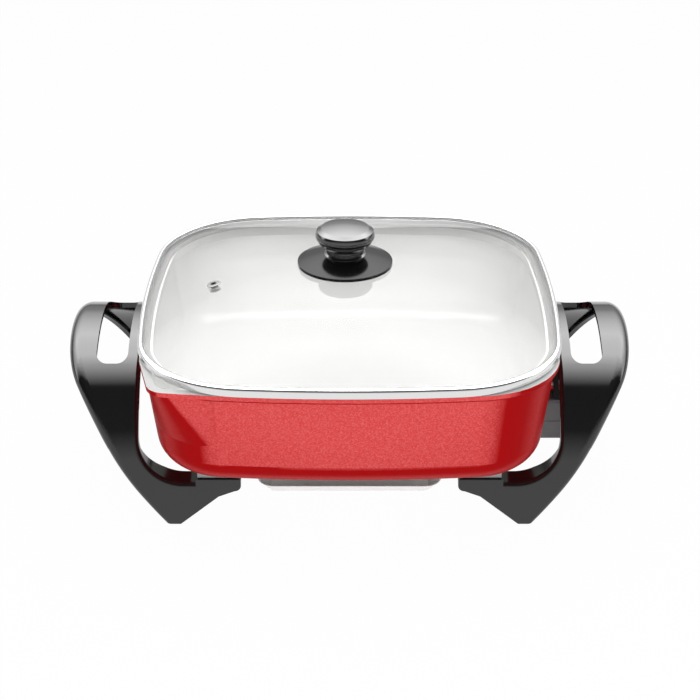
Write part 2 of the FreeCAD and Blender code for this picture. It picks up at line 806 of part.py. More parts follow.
# ---------------------------------------------------------------- brackets between pan and legs
def bracket(side_x, side_y):
    """Folded bracket: web behind the leg's face, one flange on the pad, one under the pan's boss."""
    x0 = pad_inner_x + bracket_margin
    x1 = pad_outer_x - bracket_margin
    y0 = arch_r - leg_depth + bracket_margin
    y1 = arch_r - bracket_setback
    outer = box(x0, x1, y0, y1, pad_top_z, bracket_top_z)
    outer = round_edges(outer, bracket_bend_r, lambda e: e.BoundBox.YMin > y1 - 0.01 and e.BoundBox.ZLength < 0.01)
    inner = box(x0 - 1, x1 + 1, y0 - 1, y1 - bracket_sheet, pad_top_z + bracket_sheet, bracket_top_z - bracket_sheet)
    inner_r = bracket_bend_r - bracket_sheet
    inner_y = y1 - bracket_sheet - 0.01
    inner = round_edges(inner, inner_r, lambda e: e.BoundBox.YMin > inner_y and e.BoundBox.ZLength < 0.01)
    holes = [
        rod(m5[0] + slip_fit, V(bracket_screw_x, screw_y, bracket_top_z - bracket_sheet - 1), UP, bracket_sheet + 2),
        rod(m5[0] + slip_fit, V(leg_screw_x, screw_y, pad_top_z - 1), UP, bracket_sheet + 2),
        rod(driver_hole_r, V(bracket_screw_x, screw_y, pad_top_z - 1), UP, bracket_sheet + 2),
    ]
    piece = without(outer, [inner] + holes)
    if side_y < 0:
        piece = piece.mirror(V(0, 0, 0), V(0, 1, 0))
    if side_x < 0:
        piece = piece.mirror(V(0, 0, 0), OUT)
    return piece


def bracket_screws():
    """Four screws up through the brackets into the pan's bosses."""
    tip_z = bracket_top_z + screw_bite
    corners = four_corners(bracket_screw_x, screw_y)
    return group([screw(m5, V(x, y, tip_z), UP, screw_bite + bracket_sheet) for x, y in corners])


def leg_screws():
    """Four screws up through the pads and brackets into the nuts."""
    head_z = pad_top_z - leg_screw_seat
    tip_z = pad_top_z + bracket_sheet + nut_h + 1
    return group([screw(m5, V(x, y, tip_z), UP, tip_z - head_z) for x, y in four_corners(leg_screw_x, screw_y)])


def leg_nuts():
    """Hexagon nuts on the brackets' lower flanges."""
    z = pad_top_z + bracket_sheet
    corner_r = nut_across / math.sqrt(3)
    nuts = []
    for x, y in four_corners(leg_screw_x, screw_y):
        angles = [math.radians(60 * number) for number in range(6)]
        hexagon = polygon([V(x + corner_r * math.cos(a), y + corner_r * math.sin(a), z) for a in angles])
        nuts.append(prism(hexagon, nut_h).cut(rod(m5[0] + slip_fit, V(x, y, z - 1), UP, nut_h + 2)))
    return group(nuts)


# ---------------------------------------------------------------- socket guard
def socket_guard():
    """Hood over the terminals: top, outer wall and two cheeks notched round the cast studs."""
    x0 = guard_seat_x - guard_notch_d
    x1 = guard_end_x
    z0 = guard_bottom_z
    z1 = guard_bottom_z + guard_h
    notch_z = z0 + guard_notch_h
    cheek = polygon([
        V(guard_seat_x, -guard_half_y, z0), V(x1, -guard_half_y, z0), V(x1, -guard_half_y, z1),
        V(x0, -guard_half_y, z1), V(x0, -guard_half_y, notch_z + guard_notch_d / 2),
        V(guard_seat_x, -guard_half_y, notch_z),
    ])
    hood = Part.Face(cheek).extrude(V(0, 2 * guard_half_y, 0))
    outer_top = round_edges(hood, guard_wall, lambda e: e.BoundBox.XMin > x1 - 0.01 and e.BoundBox.ZMin > z1 - 0.01)
    inner_y = guard_half_y - guard_wall
    pocket = box(x0 - 1, x1 - guard_wall, -inner_y, inner_y, z0 - 1, z1 - guard_wall)
    tools = []
    for y in (-stud_y, stud_y):
        pocket = pocket.cut(rod(stud_tip_r, V(guard_seat_x, y, stud_z), OUT, x1 - guard_seat_x))
        tools.append(rod(m3[0] + slip_fit, V(guard_seat_x - 1, y, stud_z), OUT, guard_depth))
        tools.append(rod(m3[1] + head_room, V(guard_head_x, y, stud_z), OUT, guard_wall))
    return without(outer_top, [pocket] + tools)


def guard_screws():
    """Two screws through the guard into the studs."""
    tip_x = guard_seat_x - screw_bite
    return group([screw(m3, V(tip_x, y, stud_z), -OUT, guard_head_x - tip_x) for y in (-stud_y, stud_y)])


# ---------------------------------------------------------------- lid
def dome_height(share):
    """Height of the glass above its edge, at a share of its reach from the centre."""
    return glass_rise * (1 - share ** 2) / (1 - glass_cap ** 2)


def dome_section(share, lower_by):
    """Plan outline of the glass at a share of its reach, rounder towards the centre."""
    half_x = (lid_half_x - band_lap - seat_gap) * share
    half_y = (lid_half_y - band_lap - seat_gap) * share
    edge_share = (lid_corner_r - band_lap) / (lid_half_x - band_lap)
    corner_r = half_x * (middle_roundness - (middle_roundness - edge_share) * share ** 2)
    z = glass_face_z + dome_height(share) - lower_by
    return plan_outline(half_x, half_y, corner_r, side_crown_r * share, z)


def dome(lower_by):
    """Solid under the domed surface of the glass."""
    steps = 6
    shares = [1 - (1 - glass_cap) * number / steps for number in range(steps + 1)]
    return Part.makeLoft([dome_section(share, lower_by) for share in shares], True, False)


def vent_frame(shape):
    """Move a piece drawn round the origin to the vent, square to the glass."""
    share = -vent_x / (lid_half_x - band_lap)
    slope = 2 * glass_rise * share / (1 - glass_cap ** 2) / (lid_half_x - band_lap)
    turned_piece = shape.copy()
    turned_piece.rotate(V(0, 0, 0), V(0, 1, 0), -math.degrees(math.atan(slope)))
    return turned_piece.translated(V(vent_x, vent_y, glass_face_z + dome_height(share)))


def lid_glass():
    """Domed glass with a flat edge in the band, a knob hole and a vent hole."""
    edge = prism(lid_outline(band_sheet + 2 * seat_gap, glass_edge_z), glass_t)
    inside = dome(glass_t).fuse(prism(lid_outline(band_lap, glass_edge_z - 1), 1))
    tools = [
        inside,
        rod(m5[0] + 2 * seat_gap, V(knob_x, 0, glass_top_z - 2 * glass_t), UP, 3 * glass_t),
        vent_frame(rod(vent_r + vent_seat, V(0, 0, -3 * glass_t), UP, 6 * glass_t)),
    ]
    return without(edge.fuse(dome(0)), tools).removeSplitter()


def lid_ring(inset_out, inset_in, z0, z1):
    """Upright ring that follows the lid's outline."""
    return prism(lid_outline(inset_out, z0), z1 - z0).cut(prism(lid_outline(inset_in, z0), z1 - z0))


def lid_rim():
    """Metal band folded over the glass, with a skirt that centres the lid in the pan."""
    band = fused([
        lid_ring(0, band_sheet, band_z, glass_face_z + band_sheet),
        lid_ring(0, band_lap, glass_face_z, glass_face_z + band_sheet),
        lid_ring(0, skirt_inset + band_sheet, band_z, band_z + band_sheet),
        lid_ring(skirt_inset, skirt_inset + band_sheet, band_z - skirt_drop, band_z + band_sheet),
    ])
    reach = lid_half_x - 0.01
    band = round_edges(band, band_round, lambda edge: edge.BoundBox.XMax > reach or edge.BoundBox.XMin < -reach
                       or edge.BoundBox.YMax > lid_half_y - 0.01 or edge.BoundBox.YMin < 0.01 - lid_half_y)
    return band


def rim_seal():
    """Silicone bedding between the glass and the band's lower fold."""
    return lid_ring(band_sheet, skirt_inset - band_sheet, band_z + band_sheet, glass_edge_z)


def vent_eyelet():
    """Flanged metal eyelet through the glass."""
    through = glass_t + 2 * vent_seat
    bottom = -through + vent_seat
    barrel = rod(vent_r, V(0, 0, bottom - vent_sheet), UP, through + 2 * vent_sheet)
    top_flange = rod(vent_flange_r, V(0, 0, vent_seat), UP, vent_sheet)
    low_flange = rod(vent_flange_r - vent_sheet, V(0, 0, bottom - vent_sheet), UP, vent_sheet)
    top_flange = round_edges(top_flange, vent_sheet / 2, lambda edge: edge.BoundBox.ZMin > vent_seat + vent_sheet / 2)
    eyelet = fused([barrel, top_flange, low_flange])
    return vent_frame(eyelet.cut(rod(vent_r - vent_sheet, V(0, 0, -2 * through), UP, 4 * through)))


# ---------------------------------------------------------------- knob
def at_knob(shape):
    """Move a piece drawn round the origin to the knob's place on the lid."""
    return shape.translated(V(knob_x, 0, 0))


def knob_plate():
    """Domed plate under the knob: its foot meets the glass all round, its hub the seal."""
    bore = m5[0] + slip_fit
    foot_z = glass_top_z + plate_foot_lift
    hub_z = glass_top_z + seal_t
    inner_r = plate_r - plate_foot_w
    under = plate_top_z - plate_sheet
    shoulder = V((plate_r + collar_flare_r) / 2, 0, glass_top_z + plate_shoulder_h)
    under_shoulder = shoulder - V(0, 0, plate_sheet)
    wire = Part.Wire([
        Part.LineSegment(V(bore, 0, hub_z), V(plate_hub_r, 0, hub_z)).toShape(),
        Part.LineSegment(V(plate_hub_r, 0, hub_z), V(plate_hub_r, 0, under)).toShape(),
        Part.LineSegment(V(plate_hub_r, 0, under), V(collar_r, 0, under)).toShape(),
        Part.Arc(V(collar_r, 0, under), under_shoulder, V(inner_r, 0, foot_z + plate_edge_t / 2)).toShape(),
        Part.LineSegment(V(inner_r, 0, foot_z + plate_edge_t / 2), V(inner_r, 0, foot_z)).toShape(),
        Part.LineSegment(V(inner_r, 0, foot_z), V(plate_r, 0, foot_z)).toShape(),
        Part.LineSegment(V(plate_r, 0, foot_z), V(plate_r, 0, foot_z + plate_edge_t)).toShape(),
        Part.Arc(V(plate_r, 0, foot_z + plate_edge_t), shoulder, V(collar_flare_r, 0, plate_top_z)).toShape(),
        Part.LineSegment(V(collar_flare_r, 0, plate_top_z), V(bore, 0, plate_top_z)).toShape(),
        Part.LineSegment(V(bore, 0, plate_top_z), V(bore, 0, hub_z)).toShape(),
    ])
    return turned(wire)


def knob_collar():
    """Ring under the knob, flared at its foot."""
    bore = m5[0] + slip_fit
    z = plate_top_z
    return turned(polygon([
        V(bore, 0, z), V(collar_flare_r, 0, z), V(collar_flare_r, 0, z + collar_foot_h), V(collar_r, 0, z + collar_slope_h),
        V(collar_r, 0, z + collar_h), V(bore, 0, z + collar_h),
    ]))


def knob():
    """Round knob: coned underside, a groove, a rounded rim and a domed top."""
    bore = m5[0] + slip_fit
    bore_z = knob_z + knob_screw_l - (knob_z - glass_top_z + glass_t + seal_t + washer_t) + screw_end_room

    def at(radius_share, height_share):
        return V(knob_r * radius_share, 0, knob_z + knob_h * height_share)

    under = at(0.70, 0)
    cone_end = at(0.885, 0.22)
    groove = at(0.87, 0.27)
    lower = at(0.955, 0.36)
    belly = at(1.0, 0.55)
    upper = at(0.955, 0.76)
    crown = at(0.80, 0.88)
    apex = at(0, 1.0)
    cap_h = apex.z - crown.z
    cap_r = (crown.x ** 2 + cap_h ** 2) / (2 * cap_h)
    cap_middle = V(crown.x / 2, 0, apex.z - cap_r + math.sqrt(cap_r ** 2 - crown.x ** 2 / 4))
    wire = Part.Wire([
        Part.LineSegment(V(bore, 0, knob_z), under).toShape(),
        Part.LineSegment(under, cone_end).toShape(),
        Part.LineSegment(cone_end, groove).toShape(),
        Part.LineSegment(groove, lower).toShape(),
        Part.Arc(lower, belly, upper).toShape(),
        Part.LineSegment(upper, crown).toShape(),
        Part.Arc(crown, cap_middle, apex).toShape(),
        Part.LineSegment(apex, V(0, 0, bore_z)).toShape(),
        Part.LineSegment(V(0, 0, bore_z), V(bore, 0, bore_z)).toShape(),
        Part.LineSegment(V(bore, 0, bore_z), V(bore, 0, knob_z)).toShape(),
    ])
    return turned(wire)


def knob_seals():
    """Silicone washers above and below the glass."""
    low = glass_top_z - glass_t - seal_t
    bore = m5[0] + slip_fit
    return group([tube(seal_r, bore, V(0, 0, z), UP, seal_t) for z in (low, glass_top_z)])


def knob_washer():
    """Steel washer under the lower seal."""
    return tube(washer_r, m5[0] + slip_fit, V(0, 0, glass_top_z - glass_t - seal_t - washer_t), UP, washer_t)


def knob_screw():
    """Screw from inside the lid up into the knob."""
    head_z = glass_top_z - glass_t - seal_t - washer_t
    return screw(m5, V(0, 0, head_z + knob_screw_l), UP, knob_screw_l)


# ---------------------------------------------------------------- plug-in control
def housing_form(inset):
    """Outer form of the housing, or its hollow one wall further in."""
    slant = control_undercut / control_h
    lean = inset * (math.hypot(slant, 1) - slant)
    low_z = control_bottom_z + inset
    high_z = control_top_z - inset
    x0 = control_x + inset
    low_x = control_end_x - control_undercut - inset * math.hypot(slant, 1) + inset * slant
    high_x = low_x + (high_z - low_z) * slant
    half_y = control_half_y - inset
    side = polygon([
        V(x0, -half_y, low_z), V(low_x, -half_y, low_z), V(high_x, -half_y, high_z), V(x0, -half_y, high_z),
    ])
    form = Part.Face(side).extrude(V(0, 2 * half_y, 0))
    radius = control_end_r - inset
    return round_edges(form, radius, lambda e: e.BoundBox.ZLength > control_h / 2 and e.BoundBox.XMin > x0 + 1)


def housing():
    """Closed shell of the control, with the seam groove between its halves."""
    outer = housing_form(0)
    outer = round_edges(outer, control_top_r, lambda e: e.BoundBox.ZMin > control_top_z - 0.01
                        and e.BoundBox.XMax > control_x + 1)
    seam_z = split_z - seam_h / 2
    band = box(control_x - 1, control_end_x + 1, -control_half_y - 1, control_half_y + 1, seam_z, seam_z + seam_h)
    seam = band.cut(housing_form(seam_d))
    return outer.cut(housing_form(control_wall)).cut(seam)


def housing_half(z0, z1):
    """Box round the housing between two heights."""
    return box(control_x, control_end_x, -control_half_y, control_half_y, z0, z1)


def pillar_places():
    """Where the two halves are screwed together."""
    x0 = control_x + pillar_inset
    x1 = control_end_x - control_undercut - pillar_inset
    y = control_half_y - pillar_inset
    return [(x, side * y) for x in (x0, x1) for side in (-1, 1)]


def control_upper_shell():
    """Upper half: plug holes, spindle hole, lens hole and a rib that holds the contact sleeves."""
    upper = housing().common(housing_half(split_z, control_top_z))
    inside = housing_form(control_wall)
    rib_x = control_x + control_wall + sleeve_length / 2
    rib = box(rib_x, rib_x + sleeve_rib_t, -control_half_y, control_half_y, split_z + 1, control_top_z)
    pillars = [rod(pillar_r, V(x, y, split_z), UP, control_top_z - split_z) for x, y in pillar_places()]
    upper = fused([upper] + [piece.common(inside) for piece in [rib] + pillars])
    tools = [
        rod(sensor_r + slip_fit, V(control_x - 1, 0, element_z), OUT, control_wall + 2),
        rod(sensor_collar_r + 1, V(rib_x - 1, 0, element_z), OUT, sleeve_rib_t + 2),
        rod(spindle_r + slip_fit, V(dial_x, 0, control_top_z - control_wall - 1), UP, control_wall + 2),
        rod(lens_r + slip_fit, V(control_end_x - lens_x, -lens_y, control_top_z - 2 * control_wall), UP, 3 * control_wall),
    ]
    for y in (-pin_y, pin_y):
        tools.append(rod(pin_r + plug_fit + seat_gap, V(control_x - 1, y, element_z), OUT, control_wall + 2))
        sleeve_r = pin_r + plug_fit + sleeve_wall + slip_fit
        tools.append(rod(sleeve_r, V(rib_x - 1, y, element_z), OUT, sleeve_rib_t + 2))
    for x, y in pillar_places():
        tools.append(rod(m3[0] + slip_fit, V(x, y, split_z - 1), UP, 1 + pillar_bite + screw_end_room))
    return without(upper, tools)


def control_lower_shell():
    """Lower half: screw pillars, two posts for the switch and the hole for the cord inlet."""
    lower = housing().common(housing_half(control_bottom_z, split_z))
    inside = housing_form(control_wall)
    pillars = [rod(pillar_r, V(x, y, control_bottom_z), UP, control_split_h) for x, y in pillar_places()]
    post_h = switch_z() - control_bottom_z
    posts = [rod(pillar_r, V(x, 0, control_bottom_z), UP, post_h) for x in switch_post_x()]
    low_tools = [piece.common(inside) for piece in pillars + posts]
    lower = fused([lower] + low_tools)
    tools = [rod(inlet_r + slip_fit, V(inlet_x() - 1, inlet_y, inlet_z()), OUT, 2 * inlet_length)]
    for x, y in pillar_places():
        tools.append(rod(m3[0] + slip_fit, V(x, y, control_bottom_z - 1), UP, control_split_h + 2))
        tools.append(rod(m3[1] + head_room, V(x, y, control_bottom_z - 1), UP, 1 + shell_screw_depth))
    return without(lower, tools)


def shell_screws():
    """Four screws from below, sunk in the lower shell."""
    head_z = control_bottom_z + shell_screw_depth
    tip_z = split_z + pillar_bite
    return group([screw(m3, V(x, y, tip_z), UP, tip_z - head_z) for x, y in pillar_places()])


def sensor_rod():
    """Temperature sensor that plugs into the pan, with its collar inside the housing."""
    tip_x = terminal_x - sensor_depth
    wall_x = control_x + control_wall
    stem = rod(sensor_r, V(tip_x, 0, element_z), OUT, wall_x + sensor_collar_t - tip_x)
    stem = round_edges(stem, sensor_tip_round, lambda edge: edge.BoundBox.XMax < tip_x + 0.01)
    return fused([stem, rod(sensor_collar_r, V(wall_x, 0, element_z), OUT, sensor_collar_t)])


def contact_sleeves():
    """Brass sleeves that grip the pins, against the inside of the housing's face."""
    x = control_x + control_wall
    inner_r = pin_r + plug_fit
    return group([
        tube(inner_r + sleeve_wall, inner_r, V(x, y, element_z), OUT, sleeve_length) for y in (-pin_y, pin_y)
    ])


def switch_x():
    """Inner end of the thermostat switch."""
    return control_x + control_wall + sleeve_length


def switch_z():
    """Underside of the thermostat switch's base."""
    return split_z - base_h / 2


def switch_post_x():
    """Places of the two posts that carry the switch."""
    return (switch_x() + 2 * pillar_r, switch_x() + base_l - 2 * pillar_r)


def switch_base():
    """Ceramic base of the thermostat with the stack that clamps its blades."""
    x0 = switch_x()
    z0 = switch_z()
    top_z = z0 + base_h
    half_w = base_w / 2
    plate = box(x0, x0 + base_l, -half_w, half_w, z0, top_z)
    stack_h = blade_gap + 2 * blade_t + 2 * blade_lift
    stack = box(x0 + stack_inset, x0 + stack_inset + stack_l, -blade_w, blade_w, top_z, top_z + stack_h + blade_lift)
    slots = [box(x0, x0 + base_l, -blade_w / 2, blade_w / 2, z, z + blade_t) for z in blade_levels()]
    return without(fused([plate, stack]), slots)


def blade_levels():
    """Undersides of the two blades."""
    first = switch_z() + base_h + blade_lift
    return (first, first + blade_t + blade_gap)


def switch_blades():
    """Two spring blades of the thermostat, held in the stack."""
    x0 = switch_x() + stack_inset
    half_w = blade_w / 2 - slip_fit
    strips = []
    for z in blade_levels():
        strips.append(box(x0, x0 + blade_l, -half_w, half_w, z + slip_fit / 2, z + blade_t - slip_fit / 2))
    return group(strips)


def indicator_lens():
    """Small round lamp lens in the housing's top."""
    start = V(control_end_x - lens_x, -lens_y, control_top_z - control_wall)
    lens = rod(lens_r, start, UP, control_wall + lens_proud)
    return round_edges(lens, lens_round, lambda edge: edge.BoundBox.ZMin > control_top_z + lens_proud / 2)


def inlet_z():
    """Height of the cord inlet's axis."""
    return control_bottom_z + inlet_up


def inlet_x():
    """Inner end of the cord inlet, so that its mouth stands just proud of the sloping end."""
    end_x = control_end_x - control_undercut + inlet_up * control_undercut / control_h
    return end_x + inlet_r * control_undercut / control_h + inlet_proud - inlet_length


def cord_inlet():
    """Round bush where a cord would enter."""
    return tube(inlet_r, inlet_hole_r, V(inlet_x(), inlet_y, inlet_z()), OUT, inlet_length)


# ---------------------------------------------------------------- dial
def dial():
    """Temperature dial: thin skirt for the scale, fluted body and a grip bar."""
    z = control_top_z + dial_gap
    centre = V(dial_x, 0, z)
    body_h = dial_h - grip_h
    body = rod(dial_body_r, centre, UP, body_h)
    body = round_edges(body, dial_body_round, lambda edge: edge.BoundBox.ZMin > z + body_h - 0.01)
    for number in range(dial_flutes):
        angle = 2 * math.pi * number / dial_flutes
        spot = centre + V(math.cos(angle), math.sin(angle), 0) * (dial_body_r + flute_r / 2) + UP * dial_skirt_h
        body = body.cut(rod(flute_r, spot, UP, dial_h))
    skirt = rod(dial_r, centre, UP, dial_skirt_h)
    skirt = round_edges(skirt, dial_skirt_round, lambda edge: edge.BoundBox.ZMin > z + dial_skirt_h - 0.01)
    grip_l = dial_body_r - grip_inset
    grip = box(dial_x - grip_l, dial_x + grip_l, -grip_w / 2, grip_w / 2, z + body_h - 1, z + dial_h)
    bore = rod(spindle_r + slip_fit, centre - UP, UP, 1 + body_h - dial_cap_t)
    return fused([body, skirt, grip]).cut(bore)


def dial_spindle():
    """Spindle from the dial down to the switch's upper blade."""
    low_z = blade_levels()[1] + blade_t + seat_gap
    high_z = control_top_z + dial_gap + dial_h - grip_h - dial_cap_t - slip_fit
    return rod(spindle_r, V(dial_x, 0, low_z), UP, high_z - low_z)


def main():
    """Build and write every node."""
    os.makedirs("parts", exist_ok=True)
    save("pan", pan())
    save("heating_element", element_rod(element_r))
    save("terminal_pins", terminal_pins())
    save("pin_insulators", pin_insulators())
    save("heat_shield", heat_shield())
    save("heat_shield_screws", heat_shield_screws())
    right = handle_right()
    save("handle_right", right)
    save("handle_left", right.mirror(V(0, 0, 0), OUT))
    pads = [foot_pad(place) for place in foot_pad_places()]
    save("foot_pads", group(pads + [pad.mirror(V(0, 0, 0), OUT) for pad in pads]))
    for end, side_y in (("front", -1), ("rear", 1)):
        for side, side_x in (("left", -1), ("right", 1)):
            save("leg_bracket_" + end + "_" + side, bracket(side_x, side_y))
    save("bracket_screws", bracket_screws())
    save("leg_screws", leg_screws())
    save("leg_nuts", leg_nuts())
    save("socket_guard", socket_guard())
    save("guard_screws", guard_screws())
    save("lid_glass", lid_glass())
    save("lid_rim", lid_rim())
    save("rim_seal", rim_seal())
    save("vent_eyelet", vent_eyelet())
    save("knob_plate", at_knob(knob_plate()))
    save("knob_collar", at_knob(knob_collar()))
    save("knob", at_knob(knob()))
    save("knob_seals", at_knob(knob_seals()))
    save("knob_washer", at_knob(knob_washer()))
    save("knob_screw", at_knob(knob_screw()))
    save("control_upper_shell", control_upper_shell())
    save("control_lower_shell", control_lower_shell())
    save("shell_screws", shell_screws())
    save("sensor_rod", sensor_rod())
    save("contact_sleeves", contact_sleeves())
    save("switch_base", switch_base())
    save("switch_blades", switch_blades())
    save("indicator_lens", indicator_lens())
    save("cord_inlet", cord_inlet())
    save("dial", dial())
    save("dial_spindle", dial_spindle())


if __name__ == "__main__":
    main()
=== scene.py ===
"""Looks of a square electric pan with a domed glass lid and two black handle-and-leg arches.

The scene is in metres, in the frame of the CAD model: Z is up, X runs from handle to handle
with the plug-in control at +X, and -Y is the front, where the pouring lip is. The classes of
pieces and finishes hold their sizes in millimetres, and the studio holds its own in metres.
"""
import logging
import math
from dataclasses import dataclass, field
from enum import Enum
from typing import Any, Sequence

import bmesh
import bpy
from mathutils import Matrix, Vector


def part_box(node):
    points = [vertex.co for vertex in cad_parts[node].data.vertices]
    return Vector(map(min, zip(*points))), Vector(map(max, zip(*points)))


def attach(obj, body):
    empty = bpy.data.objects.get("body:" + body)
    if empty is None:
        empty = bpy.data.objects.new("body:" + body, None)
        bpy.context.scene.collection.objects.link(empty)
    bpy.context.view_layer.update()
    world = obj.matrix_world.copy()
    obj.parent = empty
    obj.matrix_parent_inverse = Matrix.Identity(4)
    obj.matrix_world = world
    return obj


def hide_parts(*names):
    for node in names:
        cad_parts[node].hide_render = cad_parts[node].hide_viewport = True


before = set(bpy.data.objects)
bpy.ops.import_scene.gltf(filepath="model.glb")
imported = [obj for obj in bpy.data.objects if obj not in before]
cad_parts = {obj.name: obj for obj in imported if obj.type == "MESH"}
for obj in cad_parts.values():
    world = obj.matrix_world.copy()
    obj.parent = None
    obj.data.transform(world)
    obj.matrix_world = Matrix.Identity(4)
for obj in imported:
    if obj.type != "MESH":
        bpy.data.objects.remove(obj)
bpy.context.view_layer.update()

MM = 0.001
WHITE = "#ffffff"
# Rounds after which the centre of a bowed square's corner has settled.
CORNER_ROUNDS = 40
# Edges of a swept form that turn by more degrees than this stay sharp.
SHARP_ANGLE = 50.0
# Faces of a slab whose corners go round its foot and then round its top.
SLAB_FACES = ((3, 2, 1, 0), (4, 5, 6, 7), (0, 1, 5, 4), (1, 2, 6, 5), (2, 3, 7, 6), (3, 0, 4, 7))
Pair = tuple[float, float]
Point = tuple[float, float, float]
Tree = bpy.types.NodeTree
Socket = bpy.types.NodeSocket
LOG = logging.getLogger("electric_pan")


# ------------------------------------------------------------------ small tools
def linear(code: str) -> tuple[float, float, float, float]:
    """Turns an sRGB hex value into a linear colour.

    Args:
        code: six hex digits with a leading #.

    Returns:
        Red, green, blue and full alpha for a shader socket.
    """
    values = [int(code[i:i + 2], 16) / 255 for i in (1, 3, 5)]
    red, green, blue = (v / 12.92 if v <= 0.04045 else ((v + 0.055) / 1.055) ** 2.4
                        for v in values)
    return red, green, blue, 1.0


def add_node(tree: Tree, kind: str, settings: dict[Any, Any] | None = None,
             links: dict[Any, Socket] | None = None) -> bpy.types.Node:
    """Adds one node with its settings and incoming links.

    Args:
        tree: node tree of a material or of the world.
        kind: Blender's type name of the node.
        settings: values by property name, or by input name or number.
        links: output sockets of other nodes, by input name or number.

    Returns:
        The new node.
    """
    node = tree.nodes.new(kind)
    for key, value in (settings or {}).items():
        if isinstance(key, str) and hasattr(node, key):
            setattr(node, key, value)
        else:
            node.inputs[key].default_value = value
    for key, socket in (links or {}).items():
        tree.links.new(socket, node.inputs[key])
    return node


def set_levels(ramp: bpy.types.ColorRamp, stops: Sequence[Pair], top: float = 1.0) -> None:
    """Gives a ramp a row of grey levels.

    Args:
        ramp: the ramp of a node.
        stops: pairs of place and level, rising in place.
        top: level that the ramp holds as white.
    """
    while len(ramp.elements) < len(stops):
        ramp.elements.new(0.5)
    for mark, (place, level) in zip(ramp.elements, stops):
        mark.position = place
        mark.color = (level / top,) * 3 + (1.0,)


def seen_straight(tree: Tree, ray: bpy.types.Node) -> Socket:
    """Tells rays that come from the eye, also through glass, from all others.

    Args:
        tree: the tree that asks.
        ray: its light path node.

    Returns:
        1 for such a ray and 0 for another.
    """
    either = add_node(tree, "ShaderNodeMath", {"operation": "MAXIMUM"},
                      {0: ray.outputs["Is Camera Ray"], 1: ray.outputs["Is Transmission Ray"]})
    return either.outputs["Value"]


def per_mm(size: float) -> float:
    """Texture scale at which one cell or wave is size millimetres wide."""
    return 1 / (size * MM)


def placed(name: str, data: bpy.types.ID) -> bpy.types.Object:
    """Makes an object and puts it in the scene.

    Args:
        name: name of the object.
        data: its mesh, lamp or camera.

    Returns:
        The object.
    """
    thing = bpy.data.objects.new(name, data)
    bpy.context.scene.collection.objects.link(thing)
    return thing


# ------------------------------------------------------------------ finishes
@dataclass(frozen=True)
class Finish:
    """What a surface is made of and how it was made.

    Each kind of finish fills in dress(), which sets up the shader.

    Attributes:
        name: the material and its process, in a maker's words.
        colour: sRGB hex value.
        roughness: 0 mirrors sharply and 1 not at all.
    """

    name: str
    colour: str
    roughness: float

    def material(self) -> bpy.types.Material:
        """Makes the material, or finds it if it is there already.

        Returns:
            The material, with its shader set up.
        """
        found = bpy.data.materials.get(self.name)
        if found:
            return found
        made = bpy.data.materials.new(self.name)
        made.use_nodes = True
        tree = made.node_tree
        tree.nodes.clear()
        output = add_node(tree, "ShaderNodeOutputMaterial")
        place = add_node(tree, "ShaderNodeTexCoord").outputs["Object"]
        tree.links.new(self.dress(tree, place), output.inputs["Surface"])
        return made

    def dress(self, tree: Tree, place: Socket) -> Socket:
        """Sets up the shader.

        Args:
            tree: the material's node tree.
            place: coordinates in metres.

        Returns:
            The shader's output.
        """
        raise NotImplementedError


@dataclass(frozen=True)
class Moulded(Finish):
    """Phenolic, ABS or acrylic from a mould: its grain under a soft gloss, with faint flow clouds.

    The real spark-eroded grain is too fine to show, so it is drawn grain millimetres wide.

    Attributes:
        grain: width of a cell of the mould's grain.
        grain_depth: how strongly the grain leans the light, 0 to 1.
        coat: weight of the skin that buffing leaves.
        ior: index of refraction.
        coat_roughness: roughness of that skin.
        cloud: width of a flow cloud.
        lift: how much lighter the clouds are, in steps of 255.
        spread: least and most roughness over the clouds, as shares of the roughness.
        relief: height of the grain.
    """

    grain: float = 0.45
    grain_depth: float = 0.05
    coat: float = 0.0
    ior: float = 1.5
    coat_roughness: float = 0.08
    cloud: float = 28.0
    lift: int = 6
    spread: Pair = (0.85, 1.2)
    relief: float = 0.2

    def dress(self, tree: Tree, place: Socket) -> Socket:
        """Clouds vary colour and gloss a little, and the grain only moves the light.

        Args:
            tree: the material's node tree.
            place: coordinates in metres.

        Returns:
            The shader's output.
        """
        dull, bright = self.spread
        clouds = add_node(tree, "ShaderNodeTexNoise",
                          {"Scale": per_mm(self.cloud), "Detail": 3.0}, {"Vector": place})
        grain = add_node(tree, "ShaderNodeTexNoise",
                         {"Scale": per_mm(self.grain), "Detail": 2.0}, {"Vector": place})
        rough = add_node(tree, "ShaderNodeMapRange",
                         {"To Min": self.roughness * dull, "To Max": self.roughness * bright},
                         {"Value": clouds.outputs["Fac"]})
        tone = add_node(tree, "ShaderNodeMix",
                        {"data_type": "RGBA", 6: linear(self.colour), 7: linear(self.lifted())},
                        {0: clouds.outputs["Fac"]})
        bump = add_node(tree, "ShaderNodeBump",
                        {"Strength": self.grain_depth, "Distance": self.relief * MM},
                        {"Height": grain.outputs["Fac"]})
        shader = add_node(tree, "ShaderNodeBsdfPrincipled",
                          {"Coat Weight": self.coat, "Coat Roughness": self.coat_roughness,
                           "IOR": self.ior},
                          {"Base Color": tone.outputs[2], "Roughness": rough.outputs["Result"],
                           "Normal": bump.outputs["Normal"]})
        return shader.outputs["BSDF"]

    def lifted(self) -> str:
        """The slightly lighter tone of the clouds."""
        values = (min(255, int(self.colour[i:i + 2], 16) + self.lift) for i in (1, 3, 5))
        return "#" + "".join(f"{value:02x}" for value in values)


